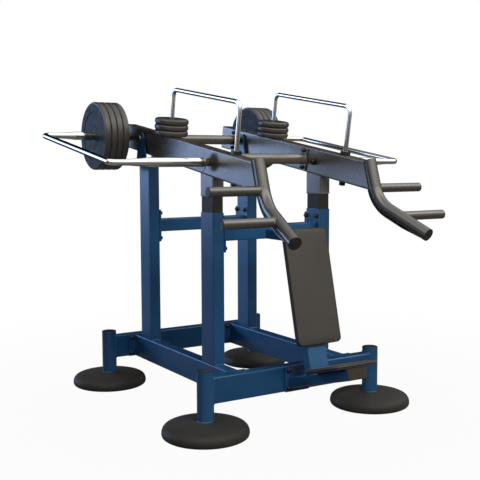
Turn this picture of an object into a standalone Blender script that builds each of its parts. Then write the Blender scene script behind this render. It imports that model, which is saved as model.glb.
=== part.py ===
"""Outdoor shoulder press machine: a frame on four round feet, and a pair of weighted levers.

Units are metres. X runs across the machine, -Y is the front, Z is up, and the ground is z = 0.
Lengths along Y are first written from the middle of the four uprights; the datum then moves the
origin to the middle of the machine's footprint box. The lever arms have axes of their own: x across,
s back along the lever from the pivot, and n square to the lever, upward.
"""
import math

import bmesh
import bpy
from mathutils import Matrix, Vector

# Clearances
SEAT_GAP = 0.0003
RUNNING_GAP = 0.0005
WELD_BITE = 0.002

# Frame tube, used for the uprights, rails, cross beams and levers
TUBE_WIDTH = 0.070
TUBE_DEPTH = 0.140
TUBE_WALL = 0.004
TUBE_CORNER = 0.009

# Layout of the frame
DATUM_Y = 0.2092
UPRIGHT_X = 0.3545
UPRIGHT_Y = 0.3875
FRONT_BEAM_Y = -0.639
REAR_BEAM_Y = 0.604
RAIL_BOTTOM = 0.168
FRONT_UPRIGHT_TOP = 1.132
REAR_UPRIGHT_TOP = 1.394

# Posts and feet
POST_X = 0.546
POST_RADIUS = 0.04445
POST_WALL = 0.004
POST_TOP = 0.340
POST_CAP_HEIGHT = 0.008
FOOT_RADIUS = 0.228
FOOT_HEIGHT = 0.080

# Bolted flanges
RAIL_FLANGE_WIDTH = 0.150
FLANGE_THICKNESS = 0.010
VENT_RADIUS = 0.009
BOLT_RADIUS = 0.0125
BOLT_HEIGHT = 0.015
BOLT_INSET = 0.021

# Braces between the uprights
BRACE_BOTTOM = 0.975
BRACE_HEIGHT = 0.080
BRACE_DEPTH = 0.060
BRACE_FLANGE_HEIGHT = 0.195

# Seat arm, spine and pads
FLAT_TUBE_WIDTH = 0.120
FLAT_TUBE_HEIGHT = 0.060
SEAT_TILT = math.radians(16.6)
SEAT_FRONT_Y = -1.196
SEAT_FRONT_Z = 0.3406
SEAT_FLANGE_WIDTH = 0.160
SEAT_WIDTH = 0.274
SEAT_LENGTH = 0.297
SEAT_THICKNESS = 0.026
BACK_LEAN = math.radians(13.5)
BACK_WIDTH = 0.284
BACK_LENGTH = 0.618
BACK_THICKNESS = 0.040
BACK_BOTTOM_Z = 0.450
SPINE_FRONT_Y = -0.8578
SPINE_TOP_Z = 1.030
BRACKET_SIZE = 0.054
BOARD_THICKNESS = 0.008
BOARD_INSET = 0.012
PAD_CORNER = 0.030
PAD_CROWN = 0.004
PAD_DRAW = 0.003
END_CAP_THICKNESS = 0.005
END_CAP_ROUND = 0.002

# Lever arms
PIVOT_Y = 0.3875
PIVOT_Z = 1.543
LEVER_TILT = math.radians(9.2)
LEVER_DEPTH = 0.146
LEVER_DROP = 0.012
LEVER_REAR = 0.261
BUFFER_HEIGHT = 0.087
STUB_BOTTOM = FRONT_UPRIGHT_TOP + BUFFER_HEIGHT
BUFFER_INSET = 0.0035
CROSS_TUBE_RADIUS = 0.030
CROSS_TUBE_WALL = 0.003
CROSS_FLANGE_WIDTH = 0.060
CROSS_FLANGE_HEIGHT = 0.134
CROSS_FLANGE_THICKNESS = 0.008
CROSS_BOLT_INSET = 0.018
FRONT_CROSS_S = -0.697
REAR_CROSS_S = 0.100

# Pivot brackets and shafts
EAR_GAP = 0.0095
EAR_THICKNESS = 0.010
EAR_RADIUS = 0.040
BOSS_RADIUS = 0.029
SHAFT_RADIUS = 0.0175
PIVOT_HEAD = 0.016
NECK_RADIUS = 0.0215
DISC_RADIUS = 0.050
DISC_THICKNESS = 0.005
STORE_STOP_X = 0.477
LOAD_STOP_X = 0.430
NUT_RADIUS = 0.019
NUT_LENGTH = 0.030

# Chrome loops
STORE_SLEEVE_S = 0.206
LOAD_SLEEVE_S = -0.805
SLEEVE_RADIUS = 0.025
SLEEVE_BORE = 0.0205
SLEEVE_END_X = 0.758
SLEEVE_RING = 0.0015
SLEEVE_PLUG = 0.020
TAPER_LENGTH = 0.098
ROD_RADIUS = 0.0165
LOOP_X = 0.947
LOOP_CORNER = 0.040

# Weight plates
BIG_PLATE_RADIUS = 0.208
BIG_PLATE_THICKNESS = 0.0385
BIG_PLATE_PITCH = 0.0390
BIG_PLATE_COUNT = 4
BIG_PLATE_START = 0.4785
SMALL_PLATE_RADIUS = 0.098
SMALL_PLATE_THICKNESS = 0.033
SMALL_PLATE_COUNT = 3
RIM_ROUND = 0.006
WEB_RECESS = 0.004

# Upper U bars
U_BAR_RADIUS = 0.0125
U_BAR_RISE = 0.266
U_BAR_CORNER = 0.040
U_BAR_REAR_S = -0.292
U_BAR_FRONT_S = -1.028
COLLAR_RADIUS = 0.018
COLLAR_HEIGHT = 0.024
LEG_TAIL = 0.002
TOP_COLLAR_RADIUS = 0.029
TOP_COLLAR_HEIGHT = 0.020

# Press tubes and handles, as (x, s, n) on the right-hand arm
PRESS_TUBE_RADIUS = 0.0335
PRESS_TUBE_WALL = 0.0035
PRESS_TOP = (0.3545, -1.2381, 0.0668)
PRESS_KNEE = (0.3545, -1.3434, -0.1451)
PRESS_END = (0.4105, -1.6833, -0.2440)
PRESS_BEND = 0.195
WALL_LAP = 0.016
BACKING_WIDTH = 0.042
BACKING_THICKNESS = 0.006
BACKING_STEP = 0.004
BACKING_RISE = 0.006
BACKING_END = 0.040
HANDLE_RADIUS = 0.0242
HANDLE_WALL = 0.003
UPPER_HANDLE_AT = 0.156
LOWER_HANDLE_AT = 0.380
UPPER_HANDLE_X = 0.667
LOWER_HANDLE_X = 0.688

BLUE = (0.013, 0.060, 0.180, 1.0)
GRAPHITE = (0.095, 0.088, 0.076, 1.0)
CHROME = (0.80, 0.80, 0.80, 1.0)
RUBBER = (0.020, 0.021, 0.023, 1.0)
BOARD_BLACK = (0.012, 0.012, 0.013, 1.0)
PAD_GREY = (0.055, 0.050, 0.044, 1.0)

RAIL_MIDDLE = RAIL_BOTTOM + TUBE_DEPTH / 2
LEVER_TOP = LEVER_DEPTH / 2 - LEVER_DROP
LEVER_BOTTOM = -LEVER_DEPTH / 2 - LEVER_DROP
BEAM_FACE = TUBE_WIDTH / 2 + SEAT_GAP
SIDE_FACE = UPRIGHT_X - TUBE_WIDTH / 2 - SEAT_GAP
SIDES = (("left", -1), ("right", 1))
ROWS = (("front", -1), ("rear", 1))


# Scene helpers
def clear_scene():
    for item in list(bpy.data.objects):
        bpy.data.objects.remove(item, do_unlink=True)


def make_material(name, colour, roughness, metallic):
    material = bpy.data.materials.new(name)
    material.use_nodes = True
    shader = material.node_tree.nodes["Principled BSDF"]
    shader.inputs["Base Color"].default_value = colour
    shader.inputs["Roughness"].default_value = roughness
    shader.inputs["Metallic"].default_value = metallic
    return material


def make_empty(name, parent=None, location=(0, 0, 0), rotation=(0, 0, 0)):
    empty = bpy.data.objects.new(name, None)
    bpy.context.collection.objects.link(empty)
    empty.parent = parent
    empty.location = location
    empty.rotation_euler = rotation
    return empty


def make_object(name, shape, material, parent, location=(0, 0, 0), rotation=(0, 0, 0)):
    bmesh.ops.remove_doubles(shape, verts=shape.verts, dist=1e-6)
    bmesh.ops.recalc_face_normals(shape, faces=shape.faces)
    mesh = bpy.data.meshes.new(name)
    shape.to_mesh(mesh)
    shape.free()
    mesh.shade_smooth()
    mesh.set_sharp_from_angle(angle=math.radians(32))
    if material:
        mesh.materials.append(material)
    return place_mesh(name, mesh, parent, location, rotation)


def place_mesh(name, mesh, parent, location=(0, 0, 0), rotation=(0, 0, 0)):
    item = bpy.data.objects.new(name, mesh)
    bpy.context.collection.objects.link(item)
    item.parent = parent
    item.location = location
    item.rotation_euler = rotation
    return item


def apply_operand(item, name, shape, operation, location, parent):
    operand = make_object(f"{item.name}_{name}", shape, None, parent or item, location)
    operand.hide_render = True
    operand.display_type = "WIRE"
    step = item.modifiers.new(name, "BOOLEAN")
    step.operation = operation
    step.solver = "EXACT"
    step.object = operand


def weld(item, name, shape, location=(0, 0, 0), parent=None):
    apply_operand(item, name, shape, "UNION", location, parent)


def cut(item, name, shape, location=(0, 0, 0), parent=None):
    apply_operand(item, name, shape, "DIFFERENCE", location, parent)


def gather(shapes):
    """Collects several shapes that stand apart, to weld or cut them in one step."""
    whole = bmesh.new()
    for shape in shapes:
        mesh = bpy.data.meshes.new("piece")
        shape.to_mesh(mesh)
        shape.free()
        whole.from_mesh(mesh)
        bpy.data.meshes.remove(mesh)
    return whole


# Shape helpers
def rounded_rectangle(width, depth, radius, steps=1):
    """Outline round the Z axis: width along X, depth along Y."""
    points = []
    for corner, (side_x, side_y) in enumerate(((1, 1), (-1, 1), (-1, -1), (1, -1))):
        centre_x = side_x * (width / 2 - radius)
        centre_y = side_y * (depth / 2 - radius)
        for step in range(steps + 1):
            angle = math.radians(90) * (corner + step / steps)
            points.append((centre_x + radius * math.cos(angle), centre_y + radius * math.sin(angle)))
    return points


def circle(radius, segments=16):
    turn = 2 * math.pi / segments
    return [(radius * math.cos(turn * i), radius * math.sin(turn * i)) for i in range(segments)]


def loft(rings, closed=False):
    """Skins rings of equal point counts, and caps the ends unless the rings close on themselves."""
    shape = bmesh.new()
    loops = [[shape.verts.new(point) for point in ring] for ring in rings]
    pairs = list(zip(loops, loops[1:]))
    if closed:
        pairs.append((loops[-1], loops[0]))
    for lower, upper in pairs:
        for i in range(len(lower)):
            j = (i + 1) % len(lower)
            shape.faces.new((lower[i], lower[j], upper[j], upper[i]))
    if not closed:
        shape.faces.new(list(reversed(loops[0])))
        shape.faces.new(loops[-1])
    return shape


def level_ring(outline, height):
    return [(x, y, height) for x, y in outline]


def prism(outline, bottom, top):
    return loft([level_ring(outline, bottom), level_ring(outline, top)])


def tube(outer, inner, bottom, top):
    """Open-ended tube along Z between two outlines of equal point counts."""
    return loft([level_ring(outer, bottom), level_ring(outer, top),
                 level_ring(inner, top), level_ring(inner, bottom)], closed=True)


def box_outlines(width, depth, wall=TUBE_WALL, corner=TUBE_CORNER):
    outer = rounded_rectangle(width, depth, corner)
    inner = rounded_rectangle(width - 2 * wall, depth - 2 * wall, corner - wall)
    return outer, inner


def box_tube(width, depth, bottom, top):
    outer, inner = box_outlines(width, depth)
    return tube(outer, inner, bottom, top)


def flange(width, depth, thickness, corner=0.006):
    """Flat plate along Z with rounded corners and a vent hole in its middle."""
    outer = rounded_rectangle(width, depth, corner)
    return tube(outer, circle(VENT_RADIUS, len(outer)), 0, thickness)


def turned(profile, segments=16, closed=False):
    """Solid of revolution about Z from (radius, height) pairs."""
    return loft([level_ring(circle(radius, segments), height) for radius, height in profile], closed)


def rod(radius, bottom, top, segments=16):
    return turned([(radius, bottom), (radius, top)], segments)


def place(shape, matrix):
    bmesh.ops.transform(shape, matrix=matrix, verts=shape.verts)
    return shape


def move(shape, x=0.0, y=0.0, z=0.0):
    return place(shape, Matrix.Translation((x, y, z)))


def along_x(shape, way=1):
    """Turns a shape that was made along Z so that it runs along X."""
    return place(shape, Matrix.Diagonal((way, 1, 1, 1)) @ Matrix.Rotation(math.radians(90), 4, "Y"))


def along_y(shape, way=1):
    """Turns a shape that was made along Z so that it runs along Y."""
    return place(shape, Matrix.Diagonal((1, way, 1, 1)) @ Matrix.Rotation(math.radians(-90), 4, "X"))


def mirror_x(shape, side):
    return place(shape, Matrix.Diagonal((side, 1, 1, 1)))


def bolt():
    """Six-sided bolt cap on z = 0, with a little below it to weld."""
    return turned([(BOLT_RADIUS, -WELD_BITE), (0.82 * BOLT_RADIUS, BOLT_HEIGHT)], segments=6)


def fillet_path(points, radius, steps):
    """Rounds the inner corners of a polyline with arcs of one radius."""
    points = [Vector(point) for point in points]
    path = [points[0]]
    for before, corner, after in zip(points, points[1:], points[2:]):
        back = (before - corner).normalized()
        ahead = (after - corner).normalized()
        half = back.angle(ahead) / 2
        centre = corner + (back + ahead).normalized() * radius / math.sin(half)
        start = corner + back * radius / math.tan(half)
        turn = math.pi - 2 * half
        axis = (start - centre).cross(-back).normalized()
        for step in range(steps + 1):
            spin = Matrix.Rotation(turn * step / steps, 3, axis)
            path.append(centre + spin @ (start - centre))
    path.append(points[-1])
    return path


def path_tangents(path):
    last = len(path) - 1
    return [(path[min(i + 1, last)] - path[max(i - 1, 0)]).normalized() for i in range(last + 1)]


def path_frames(path):
    """One (origin, side, up) frame for each path point, turned as little as possible."""
    tangents = path_tangents(path)
    side = Vector((1, 0, 0))
    frames = []
    for point, tangent in zip(path, tangents):
        side = (side - tangent * side.dot(tangent)).normalized()
        frames.append((point, side, tangent.cross(side)))
    return frames


def frame_ring(frame, outline):
    origin, side, up = frame
    return [origin + side * x + up * y for x, y in outline]


def swept(path, outline):
    """Solid bar along a path."""
    return loft([frame_ring(frame, outline) for frame in path_frames(path)])


def point_along(path, distance):
    """Point at a distance along a path from its start."""
    for start, end in zip(path, path[1:]):
        length = (end - start).length
        if distance <= length:
            return start.lerp(end, distance / length)
        distance -= length
    return path[-1].copy()


# Frame
def build_beams(root, blue):
    """Cross beams, coped at both ends to fit round the posts."""
    for name, beam_y in (("front_beam", FRONT_BEAM_Y), ("rear_beam", REAR_BEAM_Y)):
        shape = along_x(box_tube(TUBE_DEPTH, TUBE_WIDTH, -POST_X, POST_X))
        beam = make_object(name, shape, blue, root, (0, beam_y, RAIL_MIDDLE))
        cope = POST_RADIUS + SEAT_GAP
        for side_name, side in SIDES:
            cut(beam, f"cope_{side_name}", rod(cope, -TUBE_DEPTH, TUBE_DEPTH), (side * POST_X, 0, 0))


def build_rails(root, blue):
    """Side rails with a bolted flange at each end."""
    front = FRONT_BEAM_Y + BEAM_FACE
    rear = REAR_BEAM_Y - BEAM_FACE
    height = TUBE_DEPTH - 2 * SEAT_GAP
    for side_name, side in SIDES:
        shape = along_y(box_tube(TUBE_WIDTH, TUBE_DEPTH, front + WELD_BITE, rear - WELD_BITE))
        rail = make_object(f"rail_{side_name}", shape, blue, root, (side * UPRIGHT_X, 0, RAIL_MIDDLE))
        for end, face, way in (("front", front, 1), ("rear", rear, -1)):
            plate = along_y(flange(RAIL_FLANGE_WIDTH, height, FLANGE_THICKNESS), way)
            weld(rail, f"{end}_flange", plate, (0, face, 0))
            heads = four_bolts(RAIL_FLANGE_WIDTH, TUBE_DEPTH)
            weld(rail, f"{end}_bolts", along_y(heads, way), (0, face + way * FLANGE_THICKNESS, 0))


def four_bolts(width, depth):
    """Bolts near the corners of a flange, standing along Z."""
    across, up = width / 2 - BOLT_INSET, depth / 2 - BOLT_INSET
    return gather([move(bolt(), x * across, y * up) for x in (-1, 1) for y in (-1, 1)])


def build_uprights(root, blue):
    for row_name, row in ROWS:
        top = FRONT_UPRIGHT_TOP if row < 0 else REAR_UPRIGHT_TOP
        for side_name, side in SIDES:
            shape = box_tube(TUBE_WIDTH, TUBE_DEPTH, RAIL_BOTTOM + TUBE_DEPTH + SEAT_GAP, top)
            place_y = row * UPRIGHT_Y
            make_object(f"upright_{row_name}_{side_name}", shape, blue, root, (side * UPRIGHT_X, place_y, 0))


def build_posts(root, blue, rubber):
    """Capped round posts, open at the foot, standing on the domed feet."""
    inner = POST_RADIUS - POST_WALL
    bottom = FOOT_HEIGHT + SEAT_GAP
    for row_name, row_y in (("front", FRONT_BEAM_Y), ("rear", REAR_BEAM_Y)):
        for side_name, side in SIDES:
            corner = (side * POST_X, row_y, 0)
            post = turned([(inner, POST_TOP - POST_CAP_HEIGHT), (inner, bottom), (POST_RADIUS, bottom),
                           (POST_RADIUS, POST_TOP)])
            make_object(f"post_{row_name}_{side_name}", post, blue, root, corner)
            make_object(f"foot_{row_name}_{side_name}", foot_shape(), rubber, root, corner)


def foot_shape():
    """Domed foot: a drawn-in base, a rounded rim and a shallow dome up to the post's seat."""
    shares = ((0.942, 0.0), (1.0, 0.30), (0.970, 0.58), (0.880, 0.78), (0.660, 0.91))
    profile = [(FOOT_RADIUS * wide, FOOT_HEIGHT * high) for wide, high in shares]
    profile.append((POST_RADIUS + 0.012, FOOT_HEIGHT))
    return turned(profile, segments=20)


def build_braces(root, blue):
    """Cross braces, each with a bolted flange against both uprights."""
    height = BRACE_BOTTOM + BRACE_HEIGHT / 2
    length = SIDE_FACE - WELD_BITE
    for row_name, row in ROWS:
        shape = along_x(box_tube(BRACE_HEIGHT, BRACE_DEPTH, -length, length))
        brace = make_object(f"brace_{row_name}", shape, blue, root, (0, row * UPRIGHT_Y, height))
        for side_name, side in SIDES:
            plate = along_x(flange(BRACE_FLANGE_HEIGHT, TUBE_DEPTH, FLANGE_THICKNESS), -side)
            weld(brace, f"{side_name}_flange", plate, (side * SIDE_FACE, 0, 0))
            heads = along_x(four_bolts(BRACE_FLANGE_HEIGHT, TUBE_DEPTH), -side)
            weld(brace, f"{side_name}_bolts", heads, (side * (SIDE_FACE - FLANGE_THICKNESS), 0, 0))


def build_buffers(root, rubber):
    """Rubber blocks on the front uprights, on which the lever stubs rest."""
    width, depth = TUBE_WIDTH - 2 * BUFFER_INSET, TUBE_DEPTH - 2 * BUFFER_INSET
    for side_name, side in SIDES:
        shape = prism(rounded_rectangle(width, depth, TUBE_CORNER), FRONT_UPRIGHT_TOP + SEAT_GAP,
                      STUB_BOTTOM - SEAT_GAP)
        make_object(f"buffer_{side_name}", shape, rubber, root, (side * UPRIGHT_X, -UPRIGHT_Y, 0))


# Seat and back
def build_seat_arm(root, blue):
    """Capped flat tube rising forward from a flange on the front beam."""
    face = FRONT_BEAM_Y - BEAM_FACE
    slope = math.tan(SEAT_TILT)
    reach = (face - FLANGE_THICKNESS + WELD_BITE - SEAT_FRONT_Y) / math.cos(SEAT_TILT)
    outer, bore = box_outlines(FLAT_TUBE_WIDTH, FLAT_TUBE_HEIGHT)

    def square_ring(outline, distance):
        return [(x, distance, z + FLAT_TUBE_HEIGHT / 2) for x, z in outline]

    def upright_ring(outline):
        return [(x, reach - slope * (z + FLAT_TUBE_HEIGHT / 2), z + FLAT_TUBE_HEIGHT / 2) for x, z in outline]

    shape = loft([square_ring(bore, END_CAP_THICKNESS), upright_ring(bore), upright_ring(outer),
                  square_ring(outer, 0)])
    arm = make_object("seat_arm", shape, blue, root, (0, SEAT_FRONT_Y, SEAT_FRONT_Z), (-SEAT_TILT, 0, 0))
    height = TUBE_DEPTH - 2 * SEAT_GAP
    plate = along_y(flange(SEAT_FLANGE_WIDTH, height, FLANGE_THICKNESS), -1)
    weld(arm, "flange", plate, (0, face, RAIL_MIDDLE), root)
    heads = along_y(four_bolts(SEAT_FLANGE_WIDTH, height), -1)
    weld(arm, "bolts", heads, (0, face - FLANGE_THICKNESS, RAIL_MIDDLE), root)


def build_spine(root, blue):
    """Leaning spine that stands on the seat arm, tied to the front brace by a level bracket."""
    lean, slope = math.tan(BACK_LEAN), math.tan(SEAT_TILT)
    depth = FLAT_TUBE_HEIGHT / math.cos(BACK_LEAN)
    arm_top = SEAT_FRONT_Z + (FLAT_TUBE_HEIGHT + SEAT_GAP) / math.cos(SEAT_TILT)
    outer, bore = box_outlines(FLAT_TUBE_WIDTH, depth)

    def middle(z):
        return SPINE_FRONT_Y + (z - BACK_BOTTOM_Z) * lean + depth / 2

    def seat_height(y):
        return (arm_top - slope * (middle(0) + y - SEAT_FRONT_Y)) / (1 + slope * lean)

    def foot_ring(outline):
        return [(x, middle(seat_height(y)) + y, seat_height(y)) for x, y in outline]

    def top_ring(outline, z):
        return [(x, middle(z) + y, z) for x, y in outline]

    shape = loft([top_ring(bore, SPINE_TOP_Z - END_CAP_THICKNESS), foot_ring(bore), foot_ring(outer),
                  top_ring(outer, SPINE_TOP_Z)])
    spine = make_object("spine", shape, blue, root)
    height = BRACE_BOTTOM + BRACKET_SIZE / 2
    start = middle(height)
    end = -UPRIGHT_Y - BRACE_DEPTH / 2 - SEAT_GAP
    outline = rounded_rectangle(BRACKET_SIZE, BRACKET_SIZE, TUBE_CORNER)
    weld(spine, "bracket", along_y(prism(outline, start, end)), (0, 0, height), root)


def pad_shape(width, length, thickness):
    """Crowned pad on z = 0: sides drawn in at half height, and a rounded edge to the crown."""
    levels = ((-0.004, 0.0), (0.0, 0.18), (-PAD_DRAW, 0.45), (0.0, 0.72), (-0.005, 0.92), (-0.016, 1.0))
    rings = []
    for grow, level in levels:
        outline = rounded_rectangle(width + 2 * grow, length + 2 * grow, PAD_CORNER + grow, steps=4)
        rings.append(level_ring(outline, level * thickness))
    for share in (0.70, 0.40, 0.12):
        outline = rounded_rectangle(share * width, share * length, share * PAD_CORNER, steps=4)
        rings.append(level_ring(outline, thickness + PAD_CROWN * (1 - share * share)))
    return loft(rings)


def build_pad(name, place_empty, middle, width, length, thickness, rise, pad, black):
    """Pad and its board, lying on the local plane z = rise."""
    board = prism(rounded_rectangle(width - 2 * BOARD_INSET, length - 2 * BOARD_INSET, PAD_CORNER - BOARD_INSET / 2),
                  0, BOARD_THICKNESS)
    make_object(f"{name}_board", board, black, place_empty, (0, middle, rise))
    cushion = pad_shape(width, length, thickness - BOARD_THICKNESS - PAD_CROWN)
    make_object(f"{name}_pad", cushion, pad, place_empty, (0, middle, rise + BOARD_THICKNESS + SEAT_GAP))


def build_pads(root, pad, black):
    seat = make_empty("seat_place", root, (0, SEAT_FRONT_Y, SEAT_FRONT_Z), (-SEAT_TILT, 0, 0))
    lift = FLAT_TUBE_HEIGHT * math.tan(SEAT_TILT)
    build_pad("seat", seat, SEAT_LENGTH / 2 - lift, SEAT_WIDTH, SEAT_LENGTH, SEAT_THICKNESS,
              FLAT_TUBE_HEIGHT + SEAT_GAP, pad, black)
    back = make_empty("back_place", root, (0, SPINE_FRONT_Y, BACK_BOTTOM_Z), (math.radians(90) - BACK_LEAN, 0, 0))
    build_pad("back", back, BACK_LENGTH / 2, BACK_WIDTH, BACK_LENGTH, BACK_THICKNESS, SEAT_GAP, pad, black)


# Pivot brackets
def ear_outline(half, height, radius, steps=10):
    """Ear about the pivot: a straight base below, a tangent up each side and a round top."""
    reach = math.hypot(half, height)
    start = math.atan2(-height, half) + math.acos(radius / reach)
    sweep = math.pi - 2 * start
    points = [(half, -height)]
    for step in range(steps + 1):
        angle = start + sweep * step / steps
        points.append((radius * math.cos(angle), radius * math.sin(angle)))
    points.append((-half, -height))
    return points


def build_pivot_brackets(root, blue):
    """Cap plate on each rear upright, with two bored ears and their bosses."""
    inner = TUBE_WIDTH / 2 + EAR_GAP
    outer = inner + EAR_THICKNESS
    base = REAR_UPRIGHT_TOP + SEAT_GAP - PIVOT_Z
    upended = Matrix(((0, 0, 1, 0), (1, 0, 0, 0), (0, 1, 0, 0), (0, 0, 0, 1)))
    for side_name, side in SIDES:
        plate = prism(rounded_rectangle(2 * outer, TUBE_DEPTH, 0.004), base, base + EAR_THICKNESS)
        bracket = make_object(f"pivot_bracket_{side_name}", plate, blue, root,
                              (side * UPRIGHT_X, PIVOT_Y, PIVOT_Z))
        outline = ear_outline(TUBE_DEPTH / 2 - WELD_BITE, -base - EAR_THICKNESS / 2, EAR_RADIUS)
        inset = 0.0005
        starts = (inset - outer, inner - inset)
        ears = [place(prism(outline, start, start + EAR_THICKNESS), upended) for start in starts]
        weld(bracket, "ears", gather(ears))
        boss_start = TUBE_WIDTH / 2 + RUNNING_GAP
        bosses = [along_x(rod(BOSS_RADIUS, boss_start, inner + WELD_BITE), way) for way in (-1, 1)]
        weld(bracket, "bosses", gather(bosses))
        cut(bracket, "bore", along_x(rod(SHAFT_RADIUS + RUNNING_GAP, -2 * outer, 2 * outer)))


# Lever arms
def arm_point(x, y, z):
    """A machine point in the arm's own axes."""
    back, up = y - PIVOT_Y, z - PIVOT_Z
    cosine, sine = math.cos(LEVER_TILT), math.sin(LEVER_TILT)
    return Vector((x, back * cosine + up * sine, up * cosine - back * sine))


def press_path(side):
    points = [(side * x, s, n) for x, s, n in (PRESS_TOP, PRESS_KNEE, PRESS_END)]
    return fillet_path(points, PRESS_BEND, 5)


def lever_end(n):
    """How far the lever reaches at height n: its side walls lap beside the press tube."""
    run = (PRESS_KNEE[1] - PRESS_TOP[1]) / (PRESS_KNEE[2] - PRESS_TOP[2])
    return PRESS_TOP[1] + (n - PRESS_TOP[2]) * run + WALL_LAP * math.hypot(1, run)


def build_levers(arm, blue):
    """Capped lever boxes with the stub on the buffer, the tube backing, the storage spigot and the bores."""
    outer, inner = box_outlines(TUBE_WIDTH, LEVER_DEPTH)

    def front_ring(outline):
        return [(x, lever_end(n - LEVER_DROP), n - LEVER_DROP) for x, n in outline]

    def rear_ring(outline, s):
        return [(x, s, n - LEVER_DROP) for x, n in outline]

    for side_name, side in SIDES:
        shape = loft([rear_ring(inner, LEVER_REAR - END_CAP_THICKNESS), front_ring(inner), front_ring(outer),
                      rear_ring(outer, LEVER_REAR)])
        lever = make_object(f"lever_{side_name}", shape, blue, arm, (side * UPRIGHT_X, 0, 0))
        path = press_path(side)
        above = path[0] - path_tangents(path)[0] * TUBE_WIDTH
        cut(lever, "tube_cope", swept([above] + path, circle(PRESS_TUBE_RADIUS + SEAT_GAP, 14)), parent=arm)
        grip = along_x(rod(HANDLE_RADIUS + SEAT_GAP, 0, TUBE_WIDTH), side)
        cut(lever, "grip_cope", grip, point_along(path, UPPER_HANDLE_AT), arm)
        weld(lever, "stub", stub_shape())
        weld(lever, "backing", backing_shape(path), parent=arm)
        weld(lever, "spigot", along_x(spigot_shape(), side), (0, STORE_SLEEVE_S, -LEVER_DROP))
        bore = SHAFT_RADIUS + SEAT_GAP
        shafts = [move(along_x(rod(bore, -TUBE_WIDTH / 2 - WELD_BITE, TUBE_WIDTH / 2 + WELD_BITE)), 0, s, n)
                  for s, n in ((0, 0), (LOAD_SLEEVE_S, -LEVER_DROP))]
        cut(lever, "shaft_bores", gather(shafts))
        bore = U_BAR_RADIUS + SEAT_GAP
        legs = [move(rod(bore, -LEVER_DEPTH, LEVER_DEPTH, 10), 0, s) for s in (U_BAR_REAR_S, U_BAR_FRONT_S)]
        cut(lever, "leg_bores", gather(legs))


def stub_shape():
    """Upright-sized tube under the lever, whose foot is level at rest."""
    outer, inner = box_outlines(TUBE_WIDTH - 2 * SEAT_GAP, TUBE_DEPTH)

    def top_ring(outline):
        ring = []
        for x, y in outline:
            back = y - UPRIGHT_Y - PIVOT_Y
            up = back * math.tan(LEVER_TILT) + (LEVER_BOTTOM + TUBE_WALL / 2) / math.cos(LEVER_TILT)
            ring.append(arm_point(x, PIVOT_Y + back, PIVOT_Z + up))
        return ring

    def foot_ring(outline):
        return [arm_point(x, y - UPRIGHT_Y, STUB_BOTTOM) for x, y in outline]

    return loft([foot_ring(outer), top_ring(outer), top_ring(inner), foot_ring(inner)], closed=True)


def spigot_shape():
    """Storage spigot on the lever's outer wall: a neck with a plate stop at its end."""
    stop = STORE_STOP_X - UPRIGHT_X
    return turned([(NECK_RADIUS, TUBE_WIDTH / 2 - WELD_BITE), (NECK_RADIUS, stop - DISC_THICKNESS),
                   (DISC_RADIUS, stop - DISC_THICKNESS), (DISC_RADIUS, stop)])


def backing_shape(path):
    """Strip behind the press tube: as wide as the lever inside it, and narrower below, along the tube."""
    tangents = path_tangents(path)
    wide, narrow = (TUBE_WIDTH - TUBE_WALL) / 2, BACKING_WIDTH / 2
    straight = (path[1] - path[0]).normalized()
    stations = [(path[0] - straight * BACKING_RISE, straight, wide), (path[1] - straight * BACKING_STEP, straight, wide)]
    stations += [(point, tangent, narrow) for point, tangent in zip(path[1:-1], tangents[1:-1])]
    stations.append((path[-1] - tangents[-1] * BACKING_END, tangents[-1], narrow))
    near = PRESS_TUBE_RADIUS + SEAT_GAP
    far = near + BACKING_THICKNESS
    rings = []
    for point, tangent, half in stations:
        across = (Vector((1, 0, 0)) - tangent * tangent.x).normalized()
        behind = across.cross(tangent)
        corners = ((-half, near), (half, near), (half, far), (-half, far))
        rings.append([point + across * a + behind * b for a, b in corners])
    return loft(rings)


def build_cross_tubes(arm, graphite):
    """Round tubes that tie both levers into one arm, with a two-bolt flange at each end."""
    length = SIDE_FACE - WELD_BITE
    outer, inner = circle(CROSS_TUBE_RADIUS), circle(CROSS_TUBE_RADIUS - CROSS_TUBE_WALL)
    for name, s in (("cross_tube_front", FRONT_CROSS_S), ("cross_tube_rear", REAR_CROSS_S)):
        cross = make_object(name, along_x(tube(outer, inner, -length, length)), graphite, arm,
                            (0, s, -LEVER_DROP))
        for side_name, side in SIDES:
            plate = flange(CROSS_FLANGE_HEIGHT, CROSS_FLANGE_WIDTH, CROSS_FLANGE_THICKNESS, 0.012)
            weld(cross, f"{side_name}_flange", along_x(plate, -side), (side * SIDE_FACE, 0, 0))
            up = CROSS_FLANGE_HEIGHT / 2 - CROSS_BOLT_INSET
            heads = along_x(gather([move(bolt(), way * up) for way in (-1, 1)]), -side)
            weld(cross, f"{side_name}_bolts", heads, (side * (SIDE_FACE - CROSS_FLANGE_THICKNESS), 0, 0))


def build_press_tubes(arm, graphite):
    """Curved tubes at the lever ends, each with two outward grips coped round it."""
    outer, inner = circle(PRESS_TUBE_RADIUS, 14), circle(PRESS_TUBE_RADIUS - PRESS_TUBE_WALL, 14)
    for side_name, side in SIDES:
        path = press_path(side)
        frames = path_frames(path)
        tangent = path_tangents(path)[0]
        plug = (path[0] + tangent * END_CAP_THICKNESS, frames[0][1], frames[0][2])
        rings = [frame_ring(plug, inner)] + [frame_ring(frame, inner) for frame in frames[1:]]
        rings += [frame_ring(frame, outer) for frame in reversed(frames)]
        make_object(f"press_tube_{side_name}", loft(rings), graphite, arm)
        build_handle(arm, graphite, f"handle_upper_{side_name}", side, path, UPPER_HANDLE_AT, UPPER_HANDLE_X)
        build_handle(arm, graphite, f"handle_lower_{side_name}", side, path, LOWER_HANDLE_AT, LOWER_HANDLE_X)


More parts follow.
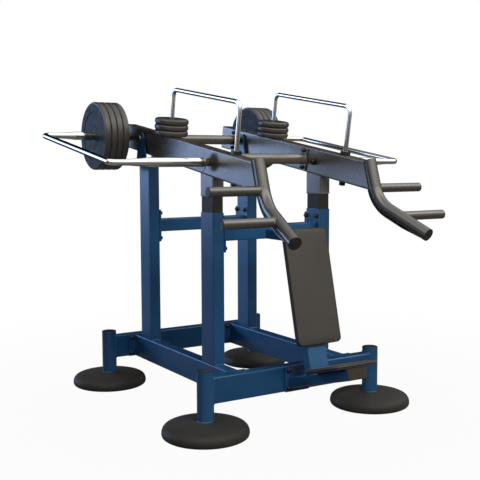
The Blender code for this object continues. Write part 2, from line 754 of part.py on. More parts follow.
def build_handle(arm, graphite, name, side, path, distance, tip_x):
    """Capped grip tube from the press tube's centre line outward, coped to the press tube."""
    root = point_along(path, distance)
    length = tip_x - abs(root.x)
    bore = HANDLE_RADIUS - HANDLE_WALL
    shape = turned([(bore, length - END_CAP_THICKNESS), (bore, 0), (HANDLE_RADIUS, 0),
                    (HANDLE_RADIUS, length - 2 * END_CAP_ROUND), (HANDLE_RADIUS - 2 * END_CAP_ROUND, length)])
    handle = make_object(name, along_x(shape, side), graphite, arm, root)
    cut(handle, "cope", swept(path, circle(PRESS_TUBE_RADIUS + SEAT_GAP, 14)), parent=arm)


# Shafts, chrome loops and U bars
def build_shafts(arm, blue):
    """Headed pivot shafts through ears and levers, and load shafts with a plate stop through the levers."""
    ear_outer = TUBE_WIDTH / 2 + EAR_GAP + EAR_THICKNESS + RUNNING_GAP
    outer_face = UPRIGHT_X + TUBE_WIDTH / 2 + SEAT_GAP
    head = NUT_RADIUS + 0.002
    pivot = [(head, UPRIGHT_X - ear_outer - NUT_LENGTH), (head, UPRIGHT_X - ear_outer),
             (SHAFT_RADIUS, UPRIGHT_X - ear_outer), (SHAFT_RADIUS, UPRIGHT_X + ear_outer),
             (head, UPRIGHT_X + ear_outer), (head, UPRIGHT_X + ear_outer + PIVOT_HEAD)]
    load = [(NUT_RADIUS, SIDE_FACE - NUT_LENGTH), (NUT_RADIUS, SIDE_FACE), (SHAFT_RADIUS, SIDE_FACE),
            (SHAFT_RADIUS, outer_face), (NECK_RADIUS, outer_face), (NECK_RADIUS, LOAD_STOP_X - DISC_THICKNESS),
            (DISC_RADIUS, LOAD_STOP_X - DISC_THICKNESS), (DISC_RADIUS, LOAD_STOP_X)]
    for side_name, side in SIDES:
        make_object(f"pivot_shaft_{side_name}", along_x(turned(pivot), side), blue, arm)
        make_object(f"load_shaft_{side_name}", along_x(turned(load), side), blue, arm,
                    (0, LOAD_SLEEVE_S, -LEVER_DROP))


def sleeve_profile(start):
    neck = SLEEVE_RADIUS - SLEEVE_RING
    return [(SLEEVE_END_X - SLEEVE_PLUG, SLEEVE_BORE), (start, SLEEVE_BORE), (start, SLEEVE_RADIUS),
            (SLEEVE_END_X - 0.006, SLEEVE_RADIUS), (SLEEVE_END_X - 0.004, neck), (SLEEVE_END_X, neck)]


def loop_shape():
    """One closed loop: hollow storage sleeve behind the pivot, outer rail, and load sleeve."""
    taper_end = SLEEVE_END_X + TAPER_LENGTH
    path = fillet_path([(taper_end, STORE_SLEEVE_S, 0), (LOOP_X, STORE_SLEEVE_S, 0), (LOOP_X, LOAD_SLEEVE_S, 0),
                        (taper_end, LOAD_SLEEVE_S, 0)], LOOP_CORNER, 4)
    up = Vector((0, 0, 1))
    rings = []
    for x, radius in sleeve_profile(STORE_STOP_X + SEAT_GAP):
        rings.append(frame_ring((Vector((x, STORE_SLEEVE_S, 0)), Vector((0, 1, 0)), up), circle(radius, 12)))
    for point, tangent in zip(path, path_tangents(path)):
        rings.append(frame_ring((point, up.cross(tangent), up), circle(ROD_RADIUS, 12)))
    for x, radius in reversed(sleeve_profile(LOAD_STOP_X + SEAT_GAP)):
        rings.append(frame_ring((Vector((x, LOAD_SLEEVE_S, 0)), Vector((0, -1, 0)), up), circle(radius, 12)))
    return move(loft(rings), z=-LEVER_DROP)


def build_loops(arm, chrome):
    for side_name, side in SIDES:
        make_object(f"chrome_loop_{side_name}", mirror_x(loop_shape(), side), chrome, arm)


def build_u_bars(arm, chrome):
    """U bars through the lever tops, nutted below; a collar stands on the lever at the front leg."""
    top = LEVER_TOP + U_BAR_RISE
    tail = LEVER_BOTTOM - COLLAR_HEIGHT - LEG_TAIL
    for side_name, side in SIDES:
        points = [(0, U_BAR_REAR_S, tail), (0, U_BAR_REAR_S, top), (0, U_BAR_FRONT_S, top), (0, U_BAR_FRONT_S, tail)]
        path = fillet_path(points, U_BAR_CORNER, 4)
        bar = make_object(f"u_bar_{side_name}", swept(path, circle(U_BAR_RADIUS, 10)), chrome, arm,
                          (side * UPRIGHT_X, 0, 0))
        collars = []
        nut_top = LEVER_BOTTOM - SEAT_GAP
        for s, radius, bottom, height in (
                (U_BAR_REAR_S, COLLAR_RADIUS, nut_top - COLLAR_HEIGHT, COLLAR_HEIGHT),
                (U_BAR_FRONT_S, COLLAR_RADIUS, nut_top - COLLAR_HEIGHT, COLLAR_HEIGHT),
                (U_BAR_FRONT_S, TOP_COLLAR_RADIUS, LEVER_TOP + SEAT_GAP, TOP_COLLAR_HEIGHT)):
            collars.append(move(rod(radius, bottom, bottom + height, 10), 0, s))
        weld(bar, "collars", gather(collars))


# Weight plates
def plate_shape(radius, thickness, bore, segments, recess=0.0):
    """Moulded plate along Z, centred on it, with a rounded rim, and a recessed web if it has one."""
    half = thickness / 2
    face = [(bore, half - recess)]
    if recess:
        face += [(0.69 * radius, half - recess), (0.73 * radius, half)]
    face += [(radius - RIM_ROUND, half), (radius, half - RIM_ROUND)]
    return turned(face + [(r, -z) for r, z in reversed(face)], segments, closed=True)


def build_plates(arm, rubber):
    """Four big plates on each storage sleeve and three small ones on each U bar's rear leg."""
    bore = SLEEVE_RADIUS + RUNNING_GAP
    big = None
    for side_name, side in SIDES:
        for i in range(BIG_PLATE_COUNT):
            x = side * (BIG_PLATE_START + BIG_PLATE_THICKNESS / 2 + i * BIG_PLATE_PITCH)
            spot = (x, STORE_SLEEVE_S, -LEVER_DROP)
            name = f"big_plate_{side_name}_{i + 1}"
            if big is None:
                shape = along_x(plate_shape(BIG_PLATE_RADIUS, BIG_PLATE_THICKNESS, bore, 20, WEB_RECESS))
                big = make_object(name, shape, rubber, arm, spot).data
            else:
                place_mesh(name, big, arm, spot)
    small = None
    for side_name, side in SIDES:
        for i in range(SMALL_PLATE_COUNT):
            n = LEVER_TOP + SEAT_GAP + SMALL_PLATE_THICKNESS / 2 + i * (SMALL_PLATE_THICKNESS + SEAT_GAP)
            spot = (side * UPRIGHT_X, U_BAR_REAR_S, n)
            name = f"small_plate_{side_name}_{i + 1}"
            if small is None:
                shape = plate_shape(SMALL_PLATE_RADIUS, SMALL_PLATE_THICKNESS, U_BAR_RADIUS + RUNNING_GAP, 16)
                small = make_object(name, shape, rubber, arm, spot).data
            else:
                place_mesh(name, small, arm, spot)


def build_machine():
    clear_scene()
    blue = make_material("blue_powder_coat", BLUE, 0.38, 0.0)
    graphite = make_material("graphite_powder_coat", GRAPHITE, 0.42, 0.1)
    chrome = make_material("chrome_plate", CHROME, 0.12, 1.0)
    rubber = make_material("moulded_rubber", RUBBER, 0.6, 0.0)
    black = make_material("board_black", BOARD_BLACK, 0.5, 0.0)
    pad = make_material("pad_vinyl", PAD_GREY, 0.55, 0.0)
    root = make_empty("machine", None, (0, DATUM_Y, 0))
    arm = make_empty("arm_pivot", root, (0, PIVOT_Y, PIVOT_Z), (LEVER_TILT, 0, 0))
    build_beams(root, blue)
    build_rails(root, blue)
    build_uprights(root, blue)
    build_posts(root, blue, rubber)
    build_braces(root, blue)
    build_buffers(root, rubber)
    build_seat_arm(root, blue)
    build_spine(root, blue)
    build_pads(root, pad, black)
    build_pivot_brackets(root, blue)
    build_levers(arm, blue)
    build_cross_tubes(arm, graphite)
    build_press_tubes(arm, graphite)
    build_shafts(arm, blue)
    build_loops(arm, chrome)
    build_u_bars(arm, chrome)
    build_plates(arm, rubber)
    bpy.context.view_layer.update()


build_machine()
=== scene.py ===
# %% [markdown]
# # Outdoor shoulder press machine
# A plate-loaded press for an outdoor gym: a blue steel frame on four heavy round feet, a seat with a
# leaning back pad, and twin levers that pivot on the rear uprights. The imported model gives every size
# and every joint. This script gives each of its pieces the finer shape and the finish of the real one.
# It starts by loading that model, because each piece made here sits exactly where its solid sits.

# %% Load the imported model
import math

import bmesh
import bpy
from mathutils import Matrix, Vector
from mathutils.bvhtree import BVHTree


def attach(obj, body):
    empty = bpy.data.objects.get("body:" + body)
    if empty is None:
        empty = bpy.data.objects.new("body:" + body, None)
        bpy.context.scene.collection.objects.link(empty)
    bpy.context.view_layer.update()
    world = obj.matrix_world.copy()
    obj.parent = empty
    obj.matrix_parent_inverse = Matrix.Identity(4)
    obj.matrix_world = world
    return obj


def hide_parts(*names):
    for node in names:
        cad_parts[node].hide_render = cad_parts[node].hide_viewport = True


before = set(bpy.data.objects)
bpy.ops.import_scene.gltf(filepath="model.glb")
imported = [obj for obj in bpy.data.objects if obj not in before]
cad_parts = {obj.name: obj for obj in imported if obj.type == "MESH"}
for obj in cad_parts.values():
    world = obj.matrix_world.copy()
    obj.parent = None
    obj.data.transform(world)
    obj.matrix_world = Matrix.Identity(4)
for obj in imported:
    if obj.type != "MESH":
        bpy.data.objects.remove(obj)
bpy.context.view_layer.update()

# %% [markdown]
# ## Camera
# The picture was taken from the front left, a little above the seat, with a longer lens that keeps the
# levers nearly parallel. Setting the camera first means that every later look is judged from the
# photographer's place.

# %% Camera
CAMERA_PLACE = (-2.6319, -4.1486, 1.4032)
CAMERA_TURN = (84.7415, 0.1918, -31.7250)
CAMERA_LENS = 63.70

lens = bpy.data.cameras.new("camera")
lens.lens, lens.sensor_width = CAMERA_LENS, 36
camera = bpy.data.objects.new("camera", lens)
camera.location = CAMERA_PLACE
camera.rotation_euler = [math.radians(angle) for angle in CAMERA_TURN]
bpy.context.collection.objects.link(camera)
bpy.context.scene.camera = camera
bpy.context.scene.view_settings.view_transform = "Standard"
print("camera", round(math.dist(CAMERA_PLACE, (0, 0, 0.9)), 2), "m from the machine's middle")

# %% [markdown]
# ## Colour and nodes
# Colours are written as sRGB hex values, as on a paint card, and Blender's nodes want linear ones. One
# function turns them. A second adds a node and gives back its output, so that each material below
# reads as a list of what it is made of. The rest are short names for the nodes that recur.

# %% Colour and nodes
def linear(paint):
    channels = [int(paint[i:i + 2], 16) / 255 for i in (1, 3, 5)]
    return [c / 12.92 if c <= 0.04045 else ((c + 0.055) / 1.055) ** 2.4 for c in channels] + [1.0]


def add(tree, kind, inputs=None, out=0, **settings):
    """Adds a shader node with its settings and inputs, and returns one of its outputs."""
    made = tree.nodes.new("ShaderNode" + kind)
    for name, value in settings.items():
        setattr(made, name, value)
    for name, value in (inputs or {}).items():
        if isinstance(value, bpy.types.NodeSocket):
            tree.links.new(value, made.inputs[name])
        else:
            made.inputs[name].default_value = value
    return made.outputs[out] if made.outputs else None


def surface(name, **values):
    """A new material with its shader's plain values set on the shader itself."""
    material = bpy.data.materials.new(name)
    material.use_nodes = True
    shader = material.node_tree.nodes["Principled BSDF"]
    for socket, value in values.items():
        shader.inputs[socket.replace("_", " ")].default_value = value
    return material, material.node_tree, shader


def dress(tree, shader, **outputs):
    """Links outputs to the shader's inputs of those names."""
    for socket, output in outputs.items():
        tree.links.new(output, shader.inputs[socket.replace("_", " ")])


def grain(size):
    """Texture scale for features of so many millimetres."""
    return 1000.0 / size


def on_object(tree):
    return add(tree, "TexCoord", out="Object")


def noise(tree, size, detail):
    return add(tree, "TexNoise", {"Vector": on_object(tree), "Scale": grain(size), "Detail": detail})


def mixed(tree, factor, low, high):
    """A colour between two paints."""
    return add(tree, "Mix", {0: factor, 6: linear(low), 7: linear(high)}, out=2, data_type="RGBA")


def ranged(tree, value, span, result=(0.0, 1.0)):
    """A value carried from one span to another and held at its ends."""
    return add(tree, "MapRange", {"Value": value, "From Min": span[0], "From Max": span[1],
                                  "To Min": result[0], "To Max": result[1]})


def about(tree, value, middle, spread):
    """Roughness that follows a noise, a little to each side of its middle."""
    return ranged(tree, value, (0.3, 0.7), (middle - spread, middle + spread))


def math_node(tree, first, second, operation="MULTIPLY"):
    return add(tree, "Math", {0: first, 1: second}, operation=operation)


def bumped(tree, height, strength, distance=0.0004):
    return add(tree, "Bump", {"Height": height, "Strength": strength, "Distance": distance})


print("linear mid grey", [round(c, 3) for c in linear("#808080")])

# %% [markdown]
# ## Powder coat
# The frame and the arm are mild steel, blasted, sprayed with polyester powder and baked at about 180
# degrees, the frame in blue and the arm in a dark graphite. The powder flows out to a satin skin with
# a faint orange peel, thinner on the edges, and the edges are painted paler: partly for that thinner
# coat and partly as a painted highlight for the thin shine the edges catch. A metal shader would be too
# bright, so this is a plain dielectric with a weak bump from a noise of about 3 mm, coarser than the
# true peel so that it shows, and a slow change of shade over some 90 mm. The graphite shines more: on
# the real one its flat sides look slate blue only because they mirror the light behind them.

# %% Powder coat
def powder_coat(name, low, high, edge, roughness, shine):
    material, tree, shader = surface(name, IOR=1.5, Specular_IOR_Level=shine)
    drift = noise(tree, 90, 3.0)
    # Paler colour on edges found by Pointiness: partly thinner powder, partly a painted highlight.
    corner = ranged(tree, add(tree, "NewGeometry", out="Pointiness"), (0.515, 0.60), (0.0, 0.45))
    worn_and_highlit = add(tree, "Mix", {0: corner, 6: mixed(tree, drift, low, high), 7: linear(edge)}, out=2, data_type="RGBA")
    dress(tree, shader, Base_Color=worn_and_highlit, Roughness=about(tree, drift, roughness, 0.02),
          Normal=bumped(tree, noise(tree, 3, 2.0), 0.05))
    return material


blue_coat = powder_coat("polyester_powder_coat_blue", "#133D64", "#18476F", "#3A6796", 0.30, 0.40)
graphite_coat = powder_coat("polyester_powder_coat_graphite", "#2A2824", "#33302B", "#6E685E", 0.27, 1.0)
print("coats:", blue_coat.name, graphite_coat.name)

# %% [markdown]
# ## Chromed steel
# The plate rails and the U bars are steel, polished and plated with nickel and chromium. The eye reads
# them by what they mirror: white sky, dark gaps, the plates beside them. So this is a full metal with
# a very low roughness, and only a trace of fine polishing marks of about 3 mm.

# %% Chromed steel
chrome, tree, shader = surface("chromium_plated_steel", Metallic=1.0, Base_Color=linear("#E8E3DA"))
dress(tree, shader, Roughness=ranged(tree, noise(tree, 60, 4.0), (0.0, 1.0), (0.08, 0.18)),
      Normal=bumped(tree, noise(tree, 3, 1.0), 0.015, 0.0002))
print("metal:", chrome.name)

# %% [markdown]
# ## Rubbers and plastics
# The feet, buffers and plates are black rubber moulded in steel dies, so their skin is a fine matt
# stipple with soft highlights on every rounded rim. The plates' treads are rubbed smooth by use and
# shine a little. Their treads are also painted a paler, warmer black, a painted highlight, and their
# faces a bluish black, a painted tint of the blue light that falls on them. The plugs and nut caps are
# injection-moulded polypropylene. All are one recipe with different colours, stipples and roughness: a
# dielectric with a mottled colour and a stippled bump.

# %% Rubbers and plastics
def moulded(name, low, high, stipple, depth, roughness, shine=0.18):
    material, tree, shader = surface(name, IOR=1.5, Specular_IOR_Level=shine)
    mottle = noise(tree, 45, 5.0)
    pits = add(tree, "TexVoronoi", {"Vector": on_object(tree), "Scale": grain(stipple)})
    dress(tree, shader, Base_Color=mixed(tree, mottle, low, high), Roughness=about(tree, mottle, roughness, 0.06),
          Normal=bumped(tree, pits, depth))
    return material


foot_rubber = moulded("moulded_rubber_feet", "#2B2A28", "#353331", 2.5, 0.15, 0.55)
# Bluish plate faces as painted blue light; paler, warmer treads as a painted highlight.
plate_rubber_painted_blue_light = moulded("moulded_rubber_plates_painted_blue_light", "#1B2129", "#242B34", 2.0, 0.12, 0.58)
tread_rubber_painted_highlight = moulded("moulded_rubber_treads_painted_highlight", "#302E2B", "#3C3936", 2.0, 0.12, 0.40, 0.6)
plug_plastic = moulded("moulded_polypropylene_plugs", "#1B1A19", "#232120", 1.5, 0.08, 0.38, 0.3)
# Black plastic painted dark grey: painted light on the seat arm plug's front face.
arm_plug_painted_lit_grey = moulded("moulded_polypropylene_painted_lit_grey", "#2B2723", "#332F2A", 1.5, 0.08, 0.45)
print("moulded:", foot_rubber.name, plate_rubber_painted_blue_light.name, tread_rubber_painted_highlight.name, plug_plastic.name, arm_plug_painted_lit_grey.name)

# %% [markdown]
# ## Bolts, board and vinyl
# The washers are black-oxide steel, a thin dark skin that still glints as metal. The pads' boards are
# plywood in black paint, and the covers are vinyl: a knitted cloth coated with PVC and embossed with a
# leather grain of about 2 mm, drawn at 3 mm here so that it can be seen.

# %% Bolts, board and vinyl
bolt_steel, tree, shader = surface("black_oxide_steel", Metallic=0.85, Roughness=0.34)
dress(tree, shader, Base_Color=mixed(tree, noise(tree, 6, 4.0), "#1F1F20", "#39393B"))

board_paint, tree, shader = surface("black_painted_plywood", IOR=1.5, Roughness=0.5)
stretch = add(tree, "Mapping", {"Vector": on_object(tree), "Scale": (grain(2), grain(40), grain(2))})
veneer = add(tree, "TexNoise", {"Vector": stretch, "Scale": 1.0, "Detail": 4.0})
dress(tree, shader, Base_Color=mixed(tree, veneer, "#171615", "#232120"), Normal=bumped(tree, veneer, 0.2))


def vinyl(name, low, high):
    material, tree, shader = surface(name, IOR=1.5, Specular_IOR_Level=0.25, Sheen_Weight=0.04, Sheen_Roughness=0.5)
    cells = add(tree, "TexVoronoi", {"Vector": on_object(tree), "Scale": grain(3)}, feature="DISTANCE_TO_EDGE")
    wear = noise(tree, 120, 4.0)
    dress(tree, shader, Base_Color=mixed(tree, wear, low, high), Roughness=about(tree, wear, 0.53, 0.07),
          Normal=bumped(tree, math_node(tree, cells, noise(tree, 1.2, 2.0)), 0.25, 0.0005))
    return material


pad_vinyl = vinyl("embossed_vinyl_warm_grey", "#383634", "#413F3C")
# Black vinyl for the welts, and for the back pad's side band as painted shade.
black_vinyl_for_welt_and_shade = vinyl("embossed_vinyl_black", "#1C1B1A", "#262423")
print("fixings and covers:", bolt_steel.name, board_paint.name, pad_vinyl.name, black_vinyl_for_welt_and_shade.name)

# %% [markdown]
# ## Shape tools
# Almost every piece is a section carried along a line: a box tube, a round tube, a turned foot, a flat
# strip. A steelworker thinks the same way, in sections and cut lengths. So one function skins a row of
# rings, and the others only make rings: round a rectangle, round a circle, along a bent path. Edges
# are then eased, because no real edge is a knife and the thin highlight on it is what makes it real.

# %% Shape tools
def section(width, depth, corner, steps=5, runs=1):
    """Rounded rectangle, anticlockwise, with so many steps to a corner and runs to a side."""
    points = []
    for turn, (side_x, side_y) in enumerate(((1, 1), (-1, 1), (-1, -1), (1, -1))):
        middle = (side_x * (width / 2 - corner), side_y * (depth / 2 - corner))
        for step in range(steps + 1):
            angle = math.radians(90) * (turn + step / steps)
            points.append((middle[0] + corner * math.cos(angle), middle[1] + corner * math.sin(angle)))
    if runs == 1:
        return points
    dense = []
    for i, (start, end) in enumerate(zip(points, points[1:] + points[:1])):
        parts = runs if i % (steps + 1) == steps else 1
        dense += [(start[0] + (end[0] - start[0]) * k / parts, start[1] + (end[1] - start[1]) * k / parts)
                  for k in range(parts)]
    return dense


def circle(radius, segments=40):
    return [(radius * math.cos(2 * math.pi * i / segments), radius * math.sin(2 * math.pi * i / segments))
            for i in range(segments)]


def level(outline, height):
    return [Vector((x, y, height)) for x, y in outline]


def skin(rings, closed=False, caps=True):
    """Joins rings of equal point counts, and closes the two ends."""
    shape = bmesh.new()
    loops = [[shape.verts.new(point) for point in ring] for ring in rings]
    for lower, upper in list(zip(loops, loops[1:])) + ([(loops[-1], loops[0])] if closed else []):
        for i in range(len(lower)):
            j = (i + 1) % len(lower)
            shape.faces.new((lower[i], lower[j], upper[j], upper[i]))
    if caps and not closed:
        shape.faces.new(list(reversed(loops[0])))
        shape.faces.new(loops[-1])
    bmesh.ops.recalc_face_normals(shape, faces=shape.faces)
    return shape


def eased(shape, width=0.0012, segments=2, angle=40):
    """Rounds every edge that is sharper than an angle."""
    edges = [edge for edge in shape.edges if edge.is_manifold and edge.calc_face_angle(0) > math.radians(angle)]
    bmesh.ops.bevel(shape, geom=edges, offset=width, segments=segments, profile=0.5, affect="EDGES",
                    clamp_overlap=True)
    return shape


def length_of(outline, bottom, top, edge=0.0012):
    return eased(skin([level(outline, bottom), level(outline, top)]), edge)


def spun(profile, segments=48, closed=False):
    """Turned solid about Z from (radius, height) pairs."""
    return skin([level(circle(radius, segments), height) for radius, height in profile], closed)


def disc(radius, start, end, edge=0.001):
    """Turned bar or disc with eased ends."""
    return eased(spun([(radius, start), (radius, end)], 56), edge)


def quarter(radius, height, size, steps=4):
    """Quarter round of a profile about (radius, height), from its side to its top."""
    angles = [math.radians(90 * step / steps) for step in range(steps + 1)]
    return [(radius + size * math.cos(a), height + size * math.sin(a)) for a in angles]


def mirrored_profile(half):
    """A turned profile from one face of a plate to the other."""
    return half + [(radius, -height) for radius, height in reversed(half)]


def placed(shape, matrix):
    bmesh.ops.transform(shape, matrix=matrix, verts=shape.verts)
    if matrix.determinant() < 0:
        bmesh.ops.reverse_faces(shape, faces=shape.faces)
    return shape


def at(x=0.0, y=0.0, z=0.0):
    return Matrix.Translation((x, y, z))


def pointing_x(way=1):
    """Turns what was made along Z so that it points along X."""
    return Matrix.Diagonal((way, 1, 1, 1)) @ Matrix.Rotation(math.radians(90), 4, "Y")


def pointing_y(way=1):
    """Turns what was made along Z so that it points along Y."""
    return Matrix.Diagonal((1, way, 1, 1)) @ Matrix.Rotation(math.radians(-90), 4, "X")


print("box tube section has", len(section(0.07, 0.14, 0.009)), "points")

# %% [markdown]
# ## Bent paths
# The press tubes, strips, rails and U bars are bent cold round a former, so each corner is an arc of
# one radius. A path is therefore given by its corners and one bend radius. The rings along it are
# turned as little as possible, which keeps the tube from twisting.

# %% Bent paths
def bent(points, radius, steps=16):
    points = [Vector(point) for point in points]
    path = [points[0]]
    for before, corner, after in zip(points, points[1:], points[2:]):
        back, ahead = (before - corner).normalized(), (after - corner).normalized()
        half = back.angle(ahead) / 2
        middle = corner + (back + ahead).normalized() * radius / math.sin(half)
        start = corner + back * radius / math.tan(half)
        axis = (start - middle).cross(-back).normalized()
        for step in range(steps + 1):
            turn = Matrix.Rotation((math.pi - 2 * half) * step / steps, 3, axis)
            path.append(middle + turn @ (start - middle))
    return path + [points[-1]]


def tangents(path):
    last = len(path) - 1
    return [(path[min(i + 1, last)] - path[max(i - 1, 0)]).normalized() for i in range(last + 1)]


def carried(path):
    """(point, side, up) along a path, with the side kept as near to X as it can be."""
    side = Vector((1, 0, 0)) if abs(tangents(path)[0].x) < 0.9 else Vector((0, 1, 0))
    frames = []
    for point, line in zip(path, tangents(path)):
        side = (side - line * side.dot(line)).normalized()
        frames.append((point, side, line.cross(side)))
    return frames


def ring_on(carrier, outline):
    point, side, up = carrier
    return [point + side * x + up * y for x, y in outline]


def along(path, distance):
    for start, end in zip(path, path[1:]):
        piece_length = (end - start).length
        if distance <= piece_length:
            return start.lerp(end, distance / piece_length)
        distance -= piece_length
    return path[-1].copy()


def gap_to(path, point):
    """Distance from a point to a path."""
    gaps = []
    for start, end in zip(path, path[1:]):
        run = end - start
        share = max(0.0, min(1.0, (point - start).dot(run) / run.length_squared))
        gaps.append((point - start.lerp(end, share)).length)
    return min(gaps)


def ring_round(point, run, outward, radius, sides):
    """Ring across a run, with its first point on the outward side."""
    side = (outward - run * outward.dot(run)).normalized()
    return ring_on((point, side, run.cross(side)), circle(radius, sides))


print("quarter bend has", len(bent([(0, 0, 0), (1, 0, 0), (1, 1, 0)], 0.04)), "stations")

# %% [markdown]
# ## Weld beads
# The tubes are joined by MIG welding, which leaves a ripple for every short advance of the torch. The
# true ripple is about 2 mm; it is drawn at 8 mm with a shallow swell so that it can be seen under the
# paint. A bead is a small round bar laid along the joint, half sunk in both tubes.

# %% Weld beads
BEAD, RIPPLE = 0.0035, 0.008


def weld_bead(points, closed=True, size=BEAD):
    points = [Vector(point) for point in points]
    line = points + [points[0]] if closed else points
    total = sum((b - a).length for a, b in zip(line, line[1:]))
    count = max(6, round(total / (RIPPLE / 3)))
    steps = [along(line, total * i / count) for i in range(count if closed else count + 1)]
    middle = sum(steps, Vector()) / len(steps)
    rings = []
    for i, point in enumerate(steps):
        ahead = steps[(i + 1) % len(steps)] if closed or i + 1 < len(steps) else point
        behind = steps[i - 1] if closed or i else point
        outward = (point - middle) if closed else Vector((0.31, 0.57, 0.76))
        swell = size * (1 + 0.12 * math.sin(2 * math.pi * total * i / count / RIPPLE))
        rings.append(ring_round(point, (ahead - behind).normalized(), outward, swell, 6))
    return skin(rings, closed=closed)


def open_bead(points):
    return weld_bead(points, closed=False)


def straight_bead(x, y, z, along_x=0.0, along_y=0.0, along_z=0.0):
    """Bead centred on a point, that runs so far to each side of it."""
    return open_bead([(x + k * along_x, y + k * along_y, z + k * along_z) for k in (-1, 0, 1)])


print("bead of", BEAD * 2000, "mm")

# %% [markdown]
# ## Making a piece
# Each piece is one object, though a real one may be several materials: a painted tube with black plugs
# and bolts. So its parts are made one by one, gathered into one mesh with a material for each, and
# given normals that keep the flats flat. It then rides on its body and stands for its solid.

# %% Making a piece
DATUM_Y = 0.2092
FRAME_AXES = at(0, DATUM_Y, 0)
SIDES = (("left", -1), ("right", 1))
ROWS = (("front", -1), ("rear", 1))
made_pieces = []


def painted(coat, *shapes):
    return [(shape, coat) for shape in shapes]


def gathered(parts):
    """One mesh of (shape, material) parts, and its materials."""
    whole, materials = bmesh.new(), []
    for shape, material in parts:
        if material not in materials:
            materials.append(material)
        bmesh.ops.remove_doubles(shape, verts=shape.verts, dist=1e-6)
        for face in shape.faces:
            face.material_index = materials.index(material)
        mesh = bpy.data.meshes.new("part")
        shape.to_mesh(mesh)
        shape.free()
        whole.from_mesh(mesh)
        bpy.data.meshes.remove(mesh)
    return whole, materials


def piece(name, parts, body, axes=FRAME_AXES, sharp=35):
    """Gathers (shape, material) parts into the piece that stands for the solid of its name."""
    whole, materials = gathered(parts)
    mesh = bpy.data.meshes.new(name + "_finished")
    placed(whole, axes).to_mesh(mesh)
    whole.free()
    mesh.shade_smooth()
    mesh.set_sharp_from_angle(angle=math.radians(sharp))
    for material in materials:
        mesh.materials.append(material)
    item = bpy.data.objects.new(name + "_finished", mesh)
    bpy.context.collection.objects.link(item)
    flats = item.modifiers.new("flats", "WEIGHTED_NORMAL")
    flats.keep_sharp = True
    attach(item, body)
    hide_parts(name)
    made_pieces.append(item)
    return item


def frame_piece(name, parts, axes=FRAME_AXES):
    return piece(name, parts, "frame", axes)


# %% [markdown]
# ## Bolts and flanges
# The machine is shipped flat and bolted together, so every big tube ends in a welded plate with bolts
# near its corners. A flanged steel washer sits under each nut, and a domed cap of black plastic covers
# the thread. From a few metres the eye sees only the black dome, so each is two small turned profiles.

# %% Bolts and flanges
BOLT_INSET, FLANGE_THICKNESS, FLANGE_CORNER = 0.021, 0.010, 0.006
WASHER_RADIUS, WASHER_EDGE, WASHER_HEIGHT = 0.0136, 0.0020, 0.0030
CAP_RADIUS, CAP_SIDE, CAP_DOME = 0.0122, 0.0080, 0.0080


def bolts_at(spots, matrix, size=1.0):
    """Washers and domed caps at points of a plate's face, as parts."""
    parts = []
    wide, narrow = WASHER_RADIUS * size, (WASHER_RADIUS - 0.0008) * size
    dome = quarter((CAP_RADIUS - CAP_DOME) * size, CAP_SIDE, CAP_DOME * size, 6)
    for x, y in spots:
        stand = matrix @ at(x, y)
        washer = spun([(wide, 0), (wide, WASHER_EDGE), (narrow, WASHER_HEIGHT)], 24)
        cap = spun([(CAP_RADIUS * size, WASHER_HEIGHT - 0.0005)] + dome, 24)
        parts += [(placed(washer, stand), bolt_steel), (placed(cap, stand), plug_plastic)]
    return parts


def bolted_plate(width, depth, matrix, slack=0.0):
    """Blue end plate that stands on z = 0 of its matrix, with four bolts on its far face, as parts."""
    plate = length_of(section(width, depth - slack, FLANGE_CORNER, 4), 0, FLANGE_THICKNESS)
    spots = [(x * (width / 2 - BOLT_INSET), y * (depth / 2 - BOLT_INSET)) for x in (-1, 1) for y in (-1, 1)]
    return painted(blue_coat, placed(plate, matrix)) + bolts_at(spots, matrix @ at(0, 0, FLANGE_THICKNESS))


print("bolts sit", BOLT_INSET * 1000, "mm in from a plate's edges")

# %% [markdown]
# ## Cross beams
# Two box tubes, 140 x 70 mm, tie the posts at the front and the rear. A welder copes their ends to sit
# round the posts. The cut is found point by point: each point of the section runs on until it meets
# the post's circle, so the end follows the post without any Boolean.

# %% Cross beams
TUBE_WIDTH, TUBE_DEPTH, TUBE_CORNER = 0.070, 0.140, 0.009
UPRIGHT_X, UPRIGHT_Y = 0.3545, 0.3875
BEAM_YS = (("front", -0.639), ("rear", 0.604))
RAIL_BOTTOM = 0.168
RAIL_MIDDLE = RAIL_BOTTOM + TUBE_DEPTH / 2
POST_X, POST_RADIUS, POST_TOP = 0.546, 0.04445, 0.340
SEAT_GAP, RUNNING_GAP, WELD_BITE = 0.0003, 0.0005, 0.002
PLUG_THICKNESS, PLUG_GAP = 0.004, 0.0004


def cross_beam(beam_y):
    outline = section(TUBE_WIDTH, TUBE_DEPTH, TUBE_CORNER, 5, 8)
    reach = [POST_X - math.sqrt((POST_RADIUS + SEAT_GAP) ** 2 - y * y) for y, z in outline]
    ends = [[(side * x, beam_y + y, RAIL_MIDDLE + z) for (y, z), x in zip(outline, reach)] for side in (-1, 1)]
    return painted(blue_coat, skin(ends, caps=False), *map(weld_bead, ends))


for row, beam_y in BEAM_YS:
    beam = frame_piece(row + "_beam", cross_beam(beam_y))
print("beam", round(beam.dimensions.x, 3), "m between the posts")

# %% [markdown]
# ## Side rails
# The rails run from beam to beam and carry the uprights. Each end has a plate 150 mm wide with four
# bolts, welded to the tube.

# %% Side rails
RAIL_FLANGE_WIDTH = 0.150
BEAM_FACE = TUBE_WIDTH / 2 + SEAT_GAP
RAIL_FRONT, RAIL_REAR = BEAM_YS[0][1] + BEAM_FACE, BEAM_YS[1][1] - BEAM_FACE


